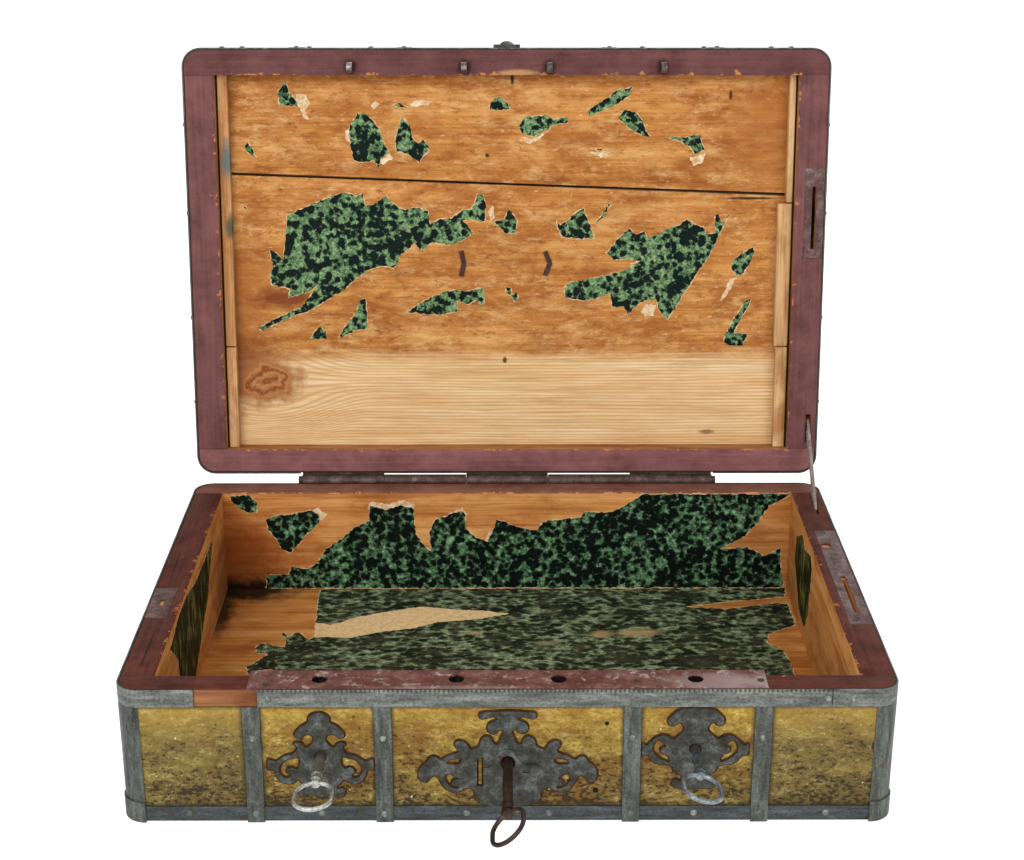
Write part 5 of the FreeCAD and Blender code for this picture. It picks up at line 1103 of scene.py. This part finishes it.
# %% scraps of bare fibre
SCRAPS = [
    [(296, 93), (306, 95), (310, 104), (305, 112), (309, 119), (304, 118), (300, 108), (295, 103)],
    [(345, 131), (350, 127), (350, 142), (346, 140)],
    [(380, 160), (390, 154), (393, 158), (383, 165)],
    [(371, 106), (376, 100), (380, 104), (374, 109)],
    [(409, 104), (418, 100), (433, 101), (428, 105), (414, 107)],
    [(520, 137), (531, 139), (545, 133), (552, 127), (540, 139), (529, 144)],
    [(690, 158), (697, 156), (706, 153), (703, 162), (694, 166)],
    [(590, 152), (602, 152), (613, 156), (601, 158)],
    [(724, 292), (730, 279), (737, 277), (732, 285), (727, 296), (720, 301)],
    [(630, 264), (641, 259), (650, 263), (639, 268)],
    [(640, 311), (646, 304), (656, 305), (654, 315), (645, 317)],
    [(488, 212), (493, 205), (495, 218), (490, 222)],
]
WALL_SCRAPS = [
    [(367, 508), (370, 502), (389, 504), (402, 500), (414, 504), (414, 512), (400, 511), (387, 515),
     (372, 512)],
    [(421, 543), (430, 552), (438, 547), (437, 553), (429, 557)],
    [(447, 515), (462, 507), (468, 514), (462, 518), (450, 520)],
    [(308, 511), (318, 508), (327, 514), (322, 521), (316, 518)],
    [(484, 540), (490, 531), (496, 533), (491, 545)],
]
SCRAP_TEAR = (0.0, 0.8)
LID_SCRAP_SEED, WALL_SCRAP_SEED = 90, 91
scraps = paper_sheet("paper_lid_scraps", "lid", SCRAPS, *SCRAP_TEAR, GLUE, UNDER_SKIN, clean_fibre, "lid",
                     LID_SCRAP_SEED)
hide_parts("paper_lid")
wall_scraps = paper_sheet("paper_back_scraps", "back", WALL_SCRAPS, *SCRAP_TEAR, GLUE, UNDER_SKIN,
                          clean_fibre, "case", WALL_SCRAP_SEED)
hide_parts("paper_case")
print(len(SCRAPS) + len(WALL_SCRAPS), "scraps of fibre")

# %% [markdown]
# ## Rust and painted shadow round the lock plates
# Under and round each lock plate the iron has stained the ground and the plate's edge shades it, so a dark
# line follows every scroll: painted rust and painted shadow in one. It could be painted into the ground's
# finish, but the finish doesn't know the scrolls; a film that is a little larger than the plate does. Each
# film is a copy of the plate, fattened outwards and pressed flat onto the ground.

# %% the films of rust and painted shadow
FILM_GROW, FILM_THICK = 1.5, 0.04
# Painted shadow and rust on the ground, as dry and mottled as torn fibre
film_shadow_and_rust = fibre_finish("ochre_ground_rust_and_painted_shadow", "#241609", "#5A3A1A")
shadow_and_rust_films = []
# Each film is painted shadow and rust: a dark sheet just outside the plate's outline
for side in SIDES:
    film = linked("shadow_and_rust_film_" + side, bpy.data.objects["worn_escutcheon_" + side].data.copy())
    bpy.ops.object.mode_set(mode="EDIT")
    bpy.ops.mesh.select_all(action="SELECT")
    bpy.ops.transform.shrink_fatten(value=FILM_GROW * MM)
    bpy.ops.object.mode_set(mode="OBJECT")
    depths = [point.co.y for point in film.data.vertices]
    press = FILM_THICK * MM / (max(depths) - min(depths))
    onto = Matrix.Translation((0, (GROUND_FACE - FILM_THICK / 2) * MM, 0)) @ Matrix.Diagonal((1, press, 1, 1))
    film.matrix_world = onto @ Matrix.Translation((0, -(max(depths) + min(depths)) / 2, 0))
    bpy.ops.object.transform_apply(location=True, rotation=True, scale=True)
    wear(film, film_shadow_and_rust)
    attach(film, "case")
    shadow_and_rust_films.append(film)
print(len(shadow_and_rust_films), "rust films,", FILM_GROW, "mm wider than the plates")

# %% [markdown]
# ## Rivets in the rim
# The rim and the selvage plate show the flat ends of a few rivets, hammered flush so that the lid can shut
# on them. One is modelled from a short cylinder: its upper face is inset twice and the middle is sunk a
# little for the hammer's dish. The others are copies of it in the places read from the photograph. They
# rise less than the gap that the lid leaves.

# %% one rivet and its copies
RIVET_RISE, RIVET_RADIUS = 0.2, 3.0
RIVET_SIDES, RIVET_SMOOTH = 28, math.radians(30)
# The flat border, the slope and the depth of the dish, as parts of the radius and of the rise
DISH_BORDER, DISH_SLOPE, DISH_DEPTH = 0.25, 0.35, 0.5
# Places across and deep in millimetres, and sizes beside the model's
RIVETS = {"right_rim_rear": (276.4, 82.4, 1.0), "right_rim_front": (276.8, -82.9, 1.0),
          "selvage_left": (-178.6, -186.5, 0.8), "selvage_right": (187.5, -181.1, 0.9),
          "selvage_nail": (95.5, -182.3, 0.6)}
bpy.ops.object.select_all(action="DESELECT")
bpy.ops.mesh.primitive_cylinder_add(vertices=RIVET_SIDES, radius=RIVET_RADIUS * MM, depth=2 * RIVET_RISE * MM)
rivet = bpy.context.object
rivet.name = "rim_rivet_model"
bpy.ops.object.mode_set(mode="EDIT")
bpy.ops.mesh.select_mode(type="FACE")
bpy.ops.mesh.select_all(action="DESELECT")
bpy.ops.object.mode_set(mode="OBJECT")
for face in rivet.data.polygons:
    face.select = face.normal.z > 0.9
bpy.ops.object.mode_set(mode="EDIT")
bpy.ops.mesh.inset(thickness=DISH_BORDER * RIVET_RADIUS * MM)
bpy.ops.mesh.inset(thickness=DISH_SLOPE * RIVET_RADIUS * MM)
bpy.ops.transform.translate(value=(0, 0, -DISH_DEPTH * RIVET_RISE * MM))
bpy.ops.object.mode_set(mode="OBJECT")
bpy.ops.object.shade_smooth_by_angle(angle=RIVET_SMOOTH)
wear(rivet, dark_iron)
rivets = []
for name, (across, deep, size) in RIVETS.items():
    piece = linked("rivet_" + name, rivet.data.copy())
    piece.matrix_world = (Matrix.Translation(Vector((across, deep, RIM_LEVEL)) * MM)
                          @ Matrix.Diagonal((size, size, 1, 1)))
    bpy.ops.object.transform_apply(location=True, rotation=True, scale=True)
    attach(piece, "case")
    rivets.append(piece)
bpy.data.objects.remove(rivet)
print(len(rivets), "rivets that rise", RIVET_RISE, "mm")

# %% [markdown]
# ## The finished box
# The last cell measures the dressed chest and keeps both boxes side by side, so that a piece that stands
# out of the solid model's box shows at once.

# %% measure and finish
dressed_box = [list(corner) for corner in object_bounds()]
grown = [[round((b - a) / MM, 2) for a, b in zip(*pair)] for pair in zip(solid_box, dressed_box)]
print("dressed box grew by", grown)
